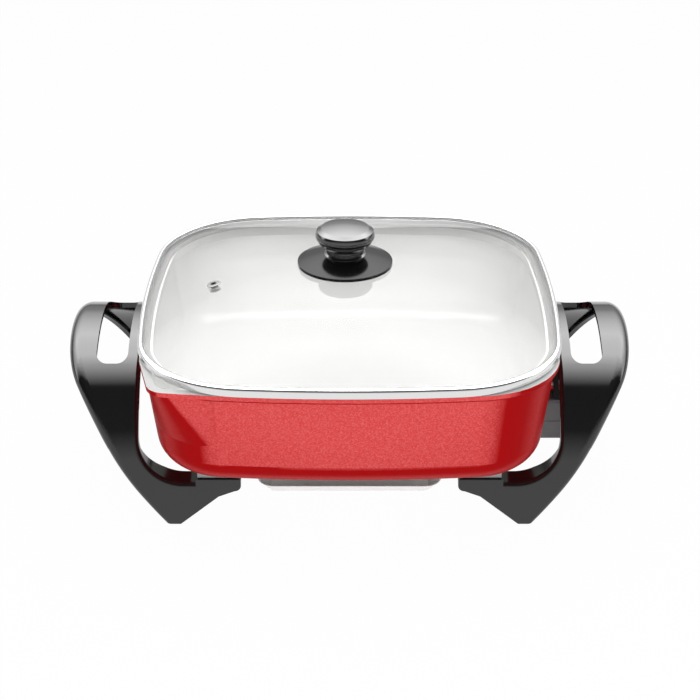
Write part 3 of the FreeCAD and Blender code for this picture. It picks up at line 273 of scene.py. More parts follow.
@dataclass(frozen=True)
class MetallicLacquer(Finish):
    """Red lacquer with aluminium flake, sprayed on cast aluminium and stoved.

    To the eye it is light red and finely sparkling where it is seen face on, and falls to a deep
    red where it turns away. That fall comes partly from the flakes lying flat in the film, and
    partly is painted shade, and near the outline the ramp paints some light back in. Real flake is
    far too fine to show, so its cells are drawn flake millimetres wide.

    Attributes:
        deep: colour where it turns away, partly painted shade.
        flake_colour: colour of a flake that catches the light, mixed into the base colour as a
            painted glint.
        flake: width of a cell of flake.
        sparkle: most share that the flake's colour takes, the strength of the painted glint.
        dull_share: share of the cells that don't catch the light.
        metallic: share of the light that the flakes mirror.
        pebble: width of a wave of the film's pebbled face.
        pebble_depth: how strongly it leans the light, 0 to 1.
        relief: height of the pebbles.
        ior: index of refraction of the thin film.
        specular: strength of its gloss.
        flop_and_painted_shade: share of the light colour by how far the surface turns away, 0 for
            face on; its steep fall is painted shade and its rise near the outline is painted light.
    """

    deep: str = "#a00408"
    flake_colour: str = "#f08a84"
    flake: float = 0.8
    sparkle: float = 0.3
    dull_share: float = 0.3
    metallic: float = 0.12
    pebble: float = 1.0
    pebble_depth: float = 0.16
    relief: float = 0.25
    ior: float = 1.2
    specular: float = 0.12
    flop_and_painted_shade: tuple[Pair, ...] = (
        (0.2, 1.0), (0.245, 0.6), (0.285, 0.02), (0.45, 0.0), (0.64, 0.3), (0.8, 0.05))

    def dress(self, tree: Tree, place: Socket) -> Socket:
        """The facing angle picks the body's colour as painted shade and light; cells paint the
        sparkle as glints, and a pebbled film leans the light.

        Args:
            tree: the material's node tree.
            place: coordinates in metres.

        Returns:
            The shader's output.
        """
        # Painted shade: by facing angle the colour falls to the deep red as the surface turns away,
        # and painted light lifts it again near the outline.
        facing = add_node(tree, "ShaderNodeLayerWeight", {"Blend": 0.5})
        flop_and_painted_shade = add_node(tree, "ShaderNodeValToRGB", None, {"Fac": facing.outputs["Facing"]})
        set_levels(flop_and_painted_shade.color_ramp, self.flop_and_painted_shade)
        body = add_node(tree, "ShaderNodeMix",
                        {"data_type": "RGBA", 6: linear(self.deep), 7: linear(self.colour)},
                        {0: flop_and_painted_shade.outputs["Color"]})
        # Painted glint: lighter flake cells mixed into the base colour, face on only.
        cells = add_node(tree, "ShaderNodeTexVoronoi", {"Scale": per_mm(self.flake)},
                         {"Vector": place})
        glint = add_node(tree, "ShaderNodeSeparateColor", None, {"Color": cells.outputs["Color"]})
        share = add_node(tree, "ShaderNodeMapRange",
                         {"From Min": self.dull_share, "From Max": 1.0,
                          "To Min": 0.0, "To Max": self.sparkle},
                         {"Value": glint.outputs["Red"]})
        lit = add_node(tree, "ShaderNodeMath", {"operation": "MULTIPLY"},
                       {0: share.outputs["Result"], 1: flop_and_painted_shade.outputs["Color"]})
        tone = add_node(tree, "ShaderNodeMix",
                        {"data_type": "RGBA", 7: linear(self.flake_colour)},
                        {0: lit.outputs["Value"], 6: body.outputs[2]})
        pebble = add_node(tree, "ShaderNodeTexNoise",
                          {"Scale": per_mm(self.pebble), "Detail": 3.0}, {"Vector": place})
        bump = add_node(tree, "ShaderNodeBump",
                        {"Strength": self.pebble_depth, "Distance": self.relief * MM},
                        {"Height": pebble.outputs["Fac"]})
        shader = add_node(tree, "ShaderNodeBsdfPrincipled",
                          {"Metallic": self.metallic, "Roughness": self.roughness,
                           "IOR": self.ior, "Specular IOR Level": self.specular},
                          {"Base Color": tone.outputs[2], "Normal": bump.outputs["Normal"]})
        return shader.outputs["BSDF"]


@dataclass(frozen=True)
class CeramicCoating(Finish):
    """White ceramic coat or enamel on metal: smooth, dense and slightly glossy, faintly clouded.

    Attributes:
        shade: colour of the clouds.
        cloud: width of a cloud.
    """

    shade: str = "#f4f4f2"
    cloud: float = 40.0

    def dress(self, tree: Tree, place: Socket) -> Socket:
        """A weak cloud in the tone keeps a large floor from looking printed.

        Args:
            tree: the material's node tree.
            place: coordinates in metres.

        Returns:
            The shader's output.
        """
        clouds = add_node(tree, "ShaderNodeTexNoise",
                          {"Scale": per_mm(self.cloud), "Detail": 4.0}, {"Vector": place})
        tone = add_node(tree, "ShaderNodeMix",
                        {"data_type": "RGBA", 6: linear(self.colour), 7: linear(self.shade)},
                        {0: clouds.outputs["Fac"]})
        shader = add_node(tree, "ShaderNodeBsdfPrincipled", {"Roughness": self.roughness},
                          {"Base Color": tone.outputs[2]})
        return shader.outputs["BSDF"]


@dataclass(frozen=True)
class Metal(Finish):
    """Cast, rolled, drawn or plated metal: fine lines or speckle in its gloss, and a plain colour.

    The real marks are too fine to show, so they are drawn line millimetres wide.

    Attributes:
        line: width of a line or speck.
        stretch: how much closer the marks lie along each axis.
        depth: how strongly the marks lean the light, 0 to 1.
        spread: share by which they vary the roughness, up and down.
        relief: height of the marks.
    """

    line: float = 0.6
    stretch: Point = (1.0, 1.0, 1.0)
    depth: float = 0.03
    spread: float = 0.25
    relief: float = 0.1

    def dress(self, tree: Tree, place: Socket) -> Socket:
        """The same noise varies the roughness and leans the normal, so marks catch the light.

        Args:
            tree: the material's node tree.
            place: coordinates in metres.

        Returns:
            The shader's output.
        """
        low, high = self.roughness * (1 - self.spread), self.roughness * (1 + self.spread)
        along = add_node(tree, "ShaderNodeMapping", {"Scale": self.stretch}, {"Vector": place})
        marks = add_node(tree, "ShaderNodeTexNoise", {"Scale": per_mm(self.line), "Detail": 4.0},
                         {"Vector": along.outputs["Vector"]})
        rough = add_node(tree, "ShaderNodeMapRange", {"To Min": low, "To Max": high},
                         {"Value": marks.outputs["Fac"]})
        bump = add_node(tree, "ShaderNodeBump",
                        {"Strength": self.depth, "Distance": self.relief * MM},
                        {"Height": marks.outputs["Fac"]})
        shader = add_node(tree, "ShaderNodeBsdfPrincipled",
                          {"Metallic": 1.0, "Base Color": linear(self.colour)},
                          {"Roughness": rough.outputs["Result"],
                           "Normal": bump.outputs["Normal"]})
        return shader.outputs["BSDF"]


@dataclass(frozen=True)
class ClearGlass(Finish):
    """Soda-lime glass, pressed, fire-polished and tempered: clear, with a gloss that grows aslant.

    Attributes:
        haze: share of the light that is scattered.
        ior: index of refraction.
        wave: width of the slow waves that pressing leaves.
        wave_depth: how strongly they lean the gloss, 0 to 1.
        relief: height of the waves.
    """

    haze: float = 0.05
    ior: float = 1.42
    wave: float = 90.0
    wave_depth: float = 0.02
    relief: float = 1.0

    def dress(self, tree: Tree, place: Socket) -> Socket:
        """Light passes straight through, a little is scattered, and the outer face has a gloss.

        Args:
            tree: the material's node tree.
            place: coordinates in metres.

        Returns:
            The shader's output.
        """
        waves = add_node(tree, "ShaderNodeTexNoise", {"Scale": per_mm(self.wave), "Detail": 1.0},
                         {"Vector": place})
        bump = add_node(tree, "ShaderNodeBump",
                        {"Strength": self.wave_depth, "Distance": self.relief * MM},
                        {"Height": waves.outputs["Fac"]})
        clear = add_node(tree, "ShaderNodeBsdfTransparent", {"Color": linear(self.colour)})
        milky = add_node(tree, "ShaderNodeBsdfDiffuse", {"Color": linear(WHITE)})
        body = add_node(tree, "ShaderNodeMixShader", {0: self.haze},
                        {1: clear.outputs["BSDF"], 2: milky.outputs["BSDF"]})
        gloss = add_node(tree, "ShaderNodeBsdfGlossy",
                         {"Roughness": self.roughness, "Color": linear(WHITE)},
                         {"Normal": bump.outputs["Normal"]})
        edge = add_node(tree, "ShaderNodeFresnel", {"IOR": self.ior},
                        {"Normal": bump.outputs["Normal"]})
        side = add_node(tree, "ShaderNodeNewGeometry")
        front = add_node(tree, "ShaderNodeMath", {"operation": "SUBTRACT", 0: 1.0},
                         {1: side.outputs["Backfacing"]})
        share = add_node(tree, "ShaderNodeMath", {"operation": "MULTIPLY"},
                         {0: edge.outputs["Fac"], 1: front.outputs["Value"]})
        whole = add_node(tree, "ShaderNodeMixShader", None,
                         {0: share.outputs["Value"], 1: body.outputs["Shader"],
                          2: gloss.outputs["BSDF"]})
        return whole.outputs["Shader"]


@dataclass(frozen=True)
class Plain(Finish):
    """Rubber, silicone, sealant, ink, bare ceramic or a phosphate coat: even, with a matt grain.

    The real grain is too fine to show, so it is drawn grain millimetres wide.

    Attributes:
        grain: width of a cell of the grain.
        depth: how strongly the grain leans the light, 0 to 1.
        soft: share of the light that goes into the body.
        reach: how far it goes there.
        spread: share by which the grain varies the roughness, up and down.
        relief: height of the grain.
    """

    grain: float = 0.5
    depth: float = 0.1
    soft: float = 0.0
    reach: float = 1.0
    spread: float = 0.1
    relief: float = 0.1

    def dress(self, tree: Tree, place: Socket) -> Socket:
        """The grain leans the normal, and soft lets light into the body a little.

        Args:
            tree: the material's node tree.
            place: coordinates in metres.

        Returns:
            The shader's output.
        """
        low, high = self.roughness * (1 - self.spread), self.roughness * (1 + self.spread)
        grain = add_node(tree, "ShaderNodeTexNoise",
                         {"Scale": per_mm(self.grain), "Detail": 3.0}, {"Vector": place})
        rough = add_node(tree, "ShaderNodeMapRange", {"To Min": low, "To Max": high},
                         {"Value": grain.outputs["Fac"]})
        bump = add_node(tree, "ShaderNodeBump",
                        {"Strength": self.depth, "Distance": self.relief * MM},
                        {"Height": grain.outputs["Fac"]})
        shader = add_node(tree, "ShaderNodeBsdfPrincipled",
                          {"Base Color": linear(self.colour), "Subsurface Weight": self.soft,
                           "Subsurface Scale": self.reach * MM},
                          {"Roughness": rough.outputs["Result"],
                           "Normal": bump.outputs["Normal"]})
        return shader.outputs["BSDF"]


class Finishes(Enum):
    """The finishes of the pan's pieces, each with what it gives the eye."""

    # Sprayed and stoved: light red with painted glints, falling to deep red where it turns away,
    # partly as painted shade.
    RED_LACQUER = MetallicLacquer("stoved_metallic_lacquer", "#cf4446", 0.42)
    # Sprayed and fired: clean white with a soft gloss.
    WHITE_COATING = CeramicCoating("sol_gel_ceramic_coating", "#fbfbfa", 0.22)
    # The same coat stoned flat on the rim: matt and greyer.
    STONED_RIM = CeramicCoating("stoned_ceramic_edge", "#cfcfce", 0.45, shade="#c4c4c3")
    # Blasted: an even, frosty light grey.
    CAST_BASE = Metal("blasted_cast_aluminium", "#b9b9b6", 0.5, line=1.2, depth=0.2)
    # Polished mould: nearly black, with sharp and smooth reflections.
    PHENOLIC = Moulded("moulded_phenolic", "#0c0c0d", 0.09, grain_depth=0.006, ior=1.6)
    # Eroded mould: dull black that mirrors next to nothing; its black is a little darker than the
    # handles' as painted shade, since the guard sits in shadow.
    GUARD_PHENOLIC = Moulded("moulded_phenolic_grained_shaded", "#080808", 0.4, ior=1.3)
    # Buffed after moulding: black with bright reflections of the lights.
    KNOB_PHENOLIC = Moulded("moulded_phenolic_polished", "#141415", 0.13, grain_depth=0.01,
                            coat=0.1, ior=1.78)
    # Polished mould: black with a weaker gloss than the knob's.
    GLOSS_PLATE = Moulded("moulded_abs_high_gloss", "#0b0b0c", 0.14, grain_depth=0.01, ior=1.25)
    # A matt mid grey line of sealant at the band's hem, put in as painted shade for the shadow line
    # where the band meets the glass.
    SHADE_LINE_SEALANT = Plain("grey_sealant_painted_shade", "#8c8c8c", 0.5, grain=0.6)
    # Eroded mould: dark grey, finely pitted and nearly matt.
    GRAINED_ABS = Moulded("moulded_abs_grained", "#666668", 0.46, grain=0.6, grain_depth=0.14)
    # Polished along the band: nearly white, with lines too fine to see one by one.
    STAINLESS = Metal("polished_stainless_steel", "#e4e4e4", 0.2, stretch=(1.0, 1.0, 12.0),
                      depth=0.01)
    # Dipped and fired: plain white, a little duller than the pan's inside.
    ENAMELLED_SHEET = CeramicCoating("porcelain_enamelled_sheet", WHITE, 0.3, shade="#fafafa")
    # Dipped in phosphate: flat grey without a glint.
    PHOSPHATED_SHEET = Plain("phosphated_sheet", "#8e8e8f", 0.42, grain=0.7, depth=0.06)
    # Barrel-plated: cool light grey with a speckled gloss.
    ZINC_SCREW = Metal("zinc_plated_steel", "#b4b5b6", 0.28, line=0.5, depth=0.05)
    # Annealed after bending: dull, slightly warm grey.
    SHEATH = Metal("annealed_steel_sheath", "#86857f", 0.42, line=0.8, depth=0.06)
    # Drawn: bright, with fine lines along its length.
    DRAWN_STEEL = Metal("drawn_stainless_rod", "#c9c8c4", 0.22, stretch=(0.1, 1.0, 1.0))
    # Turned and plated: a smooth, darker grey gloss.
    NICKEL = Metal("nickel_plated_brass", "#8f8f8d", 0.25, line=0.5)
    # Printed by pad: flat, slightly warm white.
    MARKING = Plain("pad_printed_ink", "#e9e9e6", 0.6, grain=0.4, depth=0.02)
    # Rolled strip: yellow, with fine lines along its length.
    BRASS = Metal("rolled_brass", "#c9a35a", 0.26, stretch=(0.1, 1.0, 1.0))
    # Pressed and tempered: clear, and mirrors the lights only aslant.
    GLASS = ClearGlass("tempered_glass", "#fbfbfb", 0.03)
    # Moulded: pale grey that the light goes into a little.
    SILICONE = Plain("moulded_silicone", "#b4b4b2", 0.45, soft=0.2)
    # Moulded: soft black without gloss.
    RUBBER = Plain("moulded_rubber", "#1c1c1c", 0.8, grain=0.8, depth=0.2)
    # Fired without glaze: cream and chalky.
    STEATITE = Plain("fired_steatite", "#e6e1d4", 0.6, grain=0.7)
    # Polished mould: glossy orange.
    AMBER = Moulded("moulded_amber_acrylic", "#d1641c", 0.12, grain_depth=0.0)


# ------------------------------------------------------------------ shapes
@dataclass(frozen=True)
class BowedSquare:
    """Plan of a square with bowed sides and round corners.

    Attributes:
        half_x: half its width.
        half_y: half its depth.
        corner_r: radius of its corners.
        crown_r: radius on which its sides bow out.
        per_side: steps along each side.
        per_corner: steps round each corner.
    """

    half_x: float
    half_y: float
    corner_r: float
    crown_r: float
    per_side: int = 24
    per_corner: int = 24

    def corner(self) -> Pair:
        """Finds the centre of the corner arc that meets both bowed sides without a kink.

        Returns:
            Its X and Y, in the corner where both are positive.
        """
        cx, cy = self.half_x - self.corner_r, self.half_y - self.corner_r
        rest = self.crown_r - self.corner_r
        for _ in range(CORNER_ROUNDS):
            cx = self.half_x - self.crown_r + math.sqrt(rest ** 2 - cy ** 2)
            cy = self.half_y - self.crown_r + math.sqrt(rest ** 2 - cx ** 2)
        return cx, cy

    def stations(self) -> list[tuple[Vector, Vector]]:
        """Walks round the outline.

        Returns:
            Pairs of point and outward unit vector, in order.
        """
        cx, cy = self.corner()
        low = math.atan2(cy, cx - self.half_x + self.crown_r)
        high = math.atan2(cy - self.half_y + self.crown_r, cx)
        side_x, side_y = self.half_x - self.crown_r, self.half_y - self.crown_r
        turn = math.pi
        arcs = [
            (side_x, 0.0, self.crown_r, -low, low, self.per_side),
            (cx, cy, self.corner_r, low, high, self.per_corner),
            (0.0, side_y, self.crown_r, high, turn - high, self.per_side),
            (-cx, cy, self.corner_r, turn - high, turn - low, self.per_corner),
            (-side_x, 0.0, self.crown_r, turn - low, turn + low, self.per_side),
            (-cx, -cy, self.corner_r, turn + low, turn + high, self.per_corner),
            (0.0, -side_y, self.crown_r, turn + high, 2 * turn - high, self.per_side),
            (cx, -cy, self.corner_r, -high, -low, self.per_corner),
        ]
        found = []
        for mid_x, mid_y, radius, start, end, steps in arcs:
            for step in range(steps):
                angle = start + (end - start) * step / steps
                out = Vector((math.cos(angle), math.sin(angle), 0.0))
                found.append((Vector((mid_x, mid_y, 0.0)) + out * radius, out))
        return found


def arc(mid: Pair, radius: float, start: float, end: float, steps: int = 6) -> list[Pair]:
    """Arc in a section of inset and height.

    Args:
        mid: its centre, as inset and height.
        radius: its radius.
        start: first angle in degrees; 0 points inwards and 90 up.
        end: last angle in degrees.
        steps: pieces of the arc.

    Returns:
        Points from start to end.
    """
    angles = [math.radians(start + (end - start) * n / steps) for n in range(steps + 1)]
    return [(mid[0] + radius * math.cos(a), mid[1] + radius * math.sin(a)) for a in angles]


def swept(name: str, stations: Sequence[tuple[Vector, Vector]],
          section: Sequence[Pair]) -> bpy.types.Object:
    """Sweeps a closed section round a closed outline.

    Args:
        name: name of the new object.
        stations: points and outward directions of the outline.
        section: insets and heights of the section's points.

    Returns:
        The object.
    """
    made = bmesh.new()
    rings = [[made.verts.new(((point - out * inset) + Vector((0.0, 0.0, height))) * MM)
              for inset, height in section] for point, out in stations]
    count = len(section)
    for number, ring in enumerate(rings):
        after = rings[(number + 1) % len(rings)]
        for place in range(count):
            beside = (place + 1) % count
            made.faces.new((ring[place], ring[beside], after[beside], after[place]))
    bmesh.ops.recalc_face_normals(made, faces=made.faces)
    for face in made.faces:
        face.smooth = True
    mesh = bpy.data.meshes.new(name)
    made.to_mesh(mesh)
    made.free()
    mesh.set_sharp_from_angle(angle=math.radians(SHARP_ANGLE))
    return placed(name, mesh)


# ------------------------------------------------------------------ sub-assemblies
@dataclass
class SubAssembly:
    """A group of pieces that belong together on the real pan.

    Attributes:
        body: the moving body that its pieces ride on.
        dressed: finish by CAD node, for the nodes shown as they are.
    """

    body: str = "cooker"
    dressed: dict[str, Finishes] = field(default_factory=dict)

    def dress_nodes(self) -> None:
        """Gives each shown CAD node its finish."""
        for name, finish in self.dressed.items():
            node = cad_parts[name]
            node.data.materials.clear()
            node.data.materials.append(finish.value.material())
            LOG.info("%s: %s", name, finish.value.name)

    def dress(self, thing: bpy.types.Object, finish: Finishes, slot: str) -> None:
        """Gives a new piece its finish and its place on the group's body.

        Args:
            thing: the new piece.
            finish: its finish.
            slot: the record's material slot; not used.
        """
        thing.data.materials.clear()
        thing.data.materials.append(finish.value.material())
        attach(thing, self.body)
        LOG.info("%s: %s", thing.name, finish.value.name)

    def build(self) -> None:
        """Builds and dresses the group."""
        self.dress_nodes()


class Zone(Enum):
    """Parts of the casting's surface, each with the number of its material."""

    OUTSIDE = 0
    INSIDE = 1
    RIM = 2
    BASE = 3


@dataclass
class Vessel(SubAssembly):
    """The casting with its heating element, terminals and heat shield.

    Attributes:
        floor_z: height of the cooking floor.
        bottom_z: height of the casting's underside.
        rim_z: height of the rim.
        slack: how far under the floor or the rim a face may still count as theirs.
        base_slack: how far over the underside a face may still count as its own.
        level: least upward part of the normal of a face on the flat rim.
        sloped: least upward part of the normal of a face on the floor.
    """

    dressed: dict[str, Finishes] = field(default_factory=lambda: {
        "pan": Finishes.RED_LACQUER,
        "heating_element": Finishes.SHEATH,
        "terminal_pins": Finishes.DRAWN_STEEL,
        "pin_insulators": Finishes.STEATITE,
        "heat_shield": Finishes.ENAMELLED_SHEET,
        "heat_shield_screws": Finishes.ZINC_SCREW,
    })
    floor_z: float = 66.0
    bottom_z: float = 61.0
    rim_z: float = 147.2
    slack: float = 0.05
    base_slack: float = 0.02
    level: float = 0.95
    sloped: float = 0.5

    def zone(self, face: bpy.types.MeshPolygon) -> Zone:
        """Tells which part of the casting's surface a face belongs to.

        Args:
            face: one face of the casting.

        Returns:
            Its zone.
        """
        middle, out = face.center / MM, face.normal
        if middle.z > self.rim_z - self.slack and out.z > self.level:
            return Zone.RIM
        if middle.z < self.bottom_z + self.base_slack:
            return Zone.BASE
        inward = middle.x * out.x + middle.y * out.y < 0
        if middle.z > self.floor_z - self.slack and (inward or out.z > self.sloped):
            return Zone.INSIDE
        return Zone.OUTSIDE

    def build(self) -> None:
        """Dresses the nodes, then gives each zone of the casting its own finish."""
        self.dress_nodes()
        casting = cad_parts["pan"].data
        for finish in (Finishes.WHITE_COATING, Finishes.STONED_RIM, Finishes.CAST_BASE):
            casting.materials.append(finish.value.material())
        for face in casting.polygons:
            face.material_index = self.zone(face).value


@dataclass
class SideUnits(SubAssembly):
    """Handle-and-leg mouldings, the brackets that carry the casting, feet and socket guard."""

    dressed: dict[str, Finishes] = field(default_factory=lambda: {
        "handle_left": Finishes.PHENOLIC,
        "handle_right": Finishes.PHENOLIC,
        "socket_guard": Finishes.GUARD_PHENOLIC,
        "guard_screws": Finishes.ZINC_SCREW,
        "leg_bracket_front_left": Finishes.PHOSPHATED_SHEET,
        "leg_bracket_front_right": Finishes.PHOSPHATED_SHEET,
        "leg_bracket_rear_left": Finishes.PHOSPHATED_SHEET,
        "leg_bracket_rear_right": Finishes.PHOSPHATED_SHEET,
        "bracket_screws": Finishes.ZINC_SCREW,
        "leg_screws": Finishes.ZINC_SCREW,
        "leg_nuts": Finishes.ZINC_SCREW,
        "foot_pads": Finishes.RUBBER,
    })


@dataclass
class Lid(SubAssembly):
    """Domed glass in a folded metal band, with a steam eyelet and a knob.

    Attributes:
        plan: outline of the band's outer face.
        band_z: height of the band's foot.
        band_h: height of the band's face.
        sheet: thickness of the band's sheet.
        lap: how far the band's flat top reaches in over the glass.
        skirt_inset: inset of the skirt that goes down inside the rim.
        skirt_drop: how far the skirt goes down.
        shoulder_r: radius between the flat top and the face.
        foot_r: radius of the rolled foot.
        bead_root: how far the bead reaches under the hem and into the glass.
        bead_crest: the bead's upper points, as inset from its start and height over the glass.
    """

    body: str = "lid"
    dressed: dict[str, Finishes] = field(default_factory=lambda: {
        "lid_glass": Finishes.GLASS,
        "rim_seal": Finishes.SILICONE,
        "vent_eyelet": Finishes.NICKEL,
        "knob_plate": Finishes.GLOSS_PLATE,
        "knob_collar": Finishes.KNOB_PHENOLIC,
        "knob": Finishes.KNOB_PHENOLIC,
        "knob_screw": Finishes.ZINC_SCREW,
        "knob_washer": Finishes.ZINC_SCREW,
        "knob_seals": Finishes.SILICONE,
    })
    plan: BowedSquare = BowedSquare(half_x=168.8, half_y=171.95, corner_r=90.0, crown_r=1030.0)
    band_z: float = 147.5
    band_h: float = 8.0
    sheet: float = 1.0
    lap: float = 3.4
    skirt_inset: float = 10.6
    skirt_drop: float = 6.5
    shoulder_r: float = 2.9
    foot_r: float = 1.6
    bead_root: float = 0.1
    bead_crest: tuple[Pair, ...] = ((0.0, 0.7), (0.405, 0.5), (0.9, 0.02))

    def band_section(self) -> list[Pair]:
        """Draws the folded band: hem, flat top, shoulder, face, rolled foot and skirt.

        Returns:
            Insets and heights, in order round the section.
        """
        low, high = self.band_z, self.band_z + self.band_h
        hem = self.sheet / 2
        return [
            *arc((self.lap - hem, high - hem), hem, -90, 90),
            *arc((self.shoulder_r, high - self.shoulder_r), self.shoulder_r, 90, 180),
            *arc((self.foot_r, low + self.foot_r), self.foot_r, 180, 270),
            (self.skirt_inset, low),
            *arc((self.skirt_inset + hem, low - self.skirt_drop + hem), hem, 180, 360),
            (self.skirt_inset + self.sheet, low + self.sheet),
            (self.sheet, low + self.sheet),
            (self.sheet, high - self.sheet),
        ]

    def bead_section(self) -> list[Pair]:
        """Draws the grey bead in the corner between the hem and the glass, painted shade for the
        shadow line there.

        Returns:
            Insets and heights, in order round the section.
        """
        glass_z = self.band_z + self.band_h - self.sheet
        start = self.lap - self.bead_root
        crest = [(start + inset, glass_z + height) for inset, height in self.bead_crest]
        root_z = glass_z - self.bead_root
        return [(start, root_z), *crest, (crest[-1][0], root_z)]

    def build(self) -> None:
        """Dresses the nodes and builds the band and the grey bead that paints the shadow line at
        its hem.
        """
        self.dress_nodes()
        stations = self.plan.stations()
        band = swept("lid_band", stations, self.band_section())
        self.dress(band, Finishes.STAINLESS, "polished_steel")
        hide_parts("lid_rim")
        # Painted shade: the grey bead stands in for the shadow line between the band and the glass.
        bead = swept("band_shade_bead", stations, self.bead_section())
        self.dress(bead, Finishes.SHADE_LINE_SEALANT, "black_rubber")


@dataclass
class Control(SubAssembly):
    """Plug-in temperature control with its switch, sensor and lamp."""

    body: str = "control"
    dressed: dict[str, Finishes] = field(default_factory=lambda: {
        "control_upper_shell": Finishes.GRAINED_ABS,
        "control_lower_shell": Finishes.GRAINED_ABS,
        "shell_screws": Finishes.ZINC_SCREW,
        "sensor_rod": Finishes.DRAWN_STEEL,
        "contact_sleeves": Finishes.BRASS,
        "switch_base": Finishes.STEATITE,
        "switch_blades": Finishes.BRASS,
        "indicator_lens": Finishes.AMBER,
        "cord_inlet": Finishes.RUBBER,
    })


@dataclass
class Dial(SubAssembly):
    """The control's dial, its spindle and the scale printed on its skirt.

    Attributes:
        skirt_r: radius of the skirt.
        skirt_h: height of the skirt's top over the dial's foot.
        rounding: radius of the skirt's edge.
        body_r: radius of the grip that stands on the skirt.
        tick_gap: gap between the grip and the printed lines.
        tick_w: width of a line.
        print_t: thickness of the ink.
        steps: steps of the scale.
        sweep: degrees from its first line to its last.
        middle: direction of its middle line in degrees; 0 is along +X.
    """

    body: str = "dial"
    dressed: dict[str, Finishes] = field(default_factory=lambda: {
        "dial": Finishes.KNOB_PHENOLIC,
        "dial_spindle": Finishes.DRAWN_STEEL,
    })
    skirt_r: float = 17.5
    skirt_h: float = 2.6
    rounding: float = 0.8
    body_r: float = 15.6
    tick_gap: float = 0.1
    tick_w: float = 0.5
    print_t: float = 0.04
    steps: int = 10
    sweep: float = 270.0
    middle: float = 90.0

    def mark(self, name: str, angle: float) -> bpy.types.Object:
        """Prints one short line on the skirt that points away from the dial's axis.

        Args:
            name: name of the line.
            angle: its direction in degrees; 0 points along +X.

        Returns:
            The line as an object.
        """
        low, high = (Vector(corner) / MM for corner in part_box("dial"))
        centre = Vector(((low.x + high.x) / 2, (low.y + high.y) / 2, low.z + self.skirt_h))
        along = Vector((math.cos(math.radians(angle)), math.sin(math.radians(angle)), 0.0))
        aside = Vector((-along.y, along.x, 0.0)) * (self.tick_w / 2)
        near = centre + along * (self.body_r + self.tick_gap)
        far = centre + along * (self.skirt_r - self.rounding)
        lift = Vector((0.0, 0.0, self.print_t))
        foot = [near - aside, far - aside, far + aside, near + aside]
        corners = [tuple(point * MM) for point in foot + [point + lift for point in foot]]
        mesh = bpy.data.meshes.new(name)
        mesh.from_pydata(corners, [], SLAB_FACES)
        return placed(name, mesh)

    def build(self) -> None:
        """Dresses the nodes and prints the scale, from its first line on clockwise."""
        self.dress_nodes()
        start = self.middle + self.sweep / 2
        for step in range(self.steps + 1):
            line = self.mark(f"dial_mark_{step:02d}", start - self.sweep * step / self.steps)
            self.dress(line, Finishes.MARKING, "silicone")


# ------------------------------------------------------------------ studio
@dataclass(frozen=True)
class SoftBox:
    """A square lamp that faces the pan.

    Attributes:
        name: name of the lamp.
        place: its centre.
        size: side length.
        power: watts.
    """

    name: str
    place: Point
    size: float
    power: float


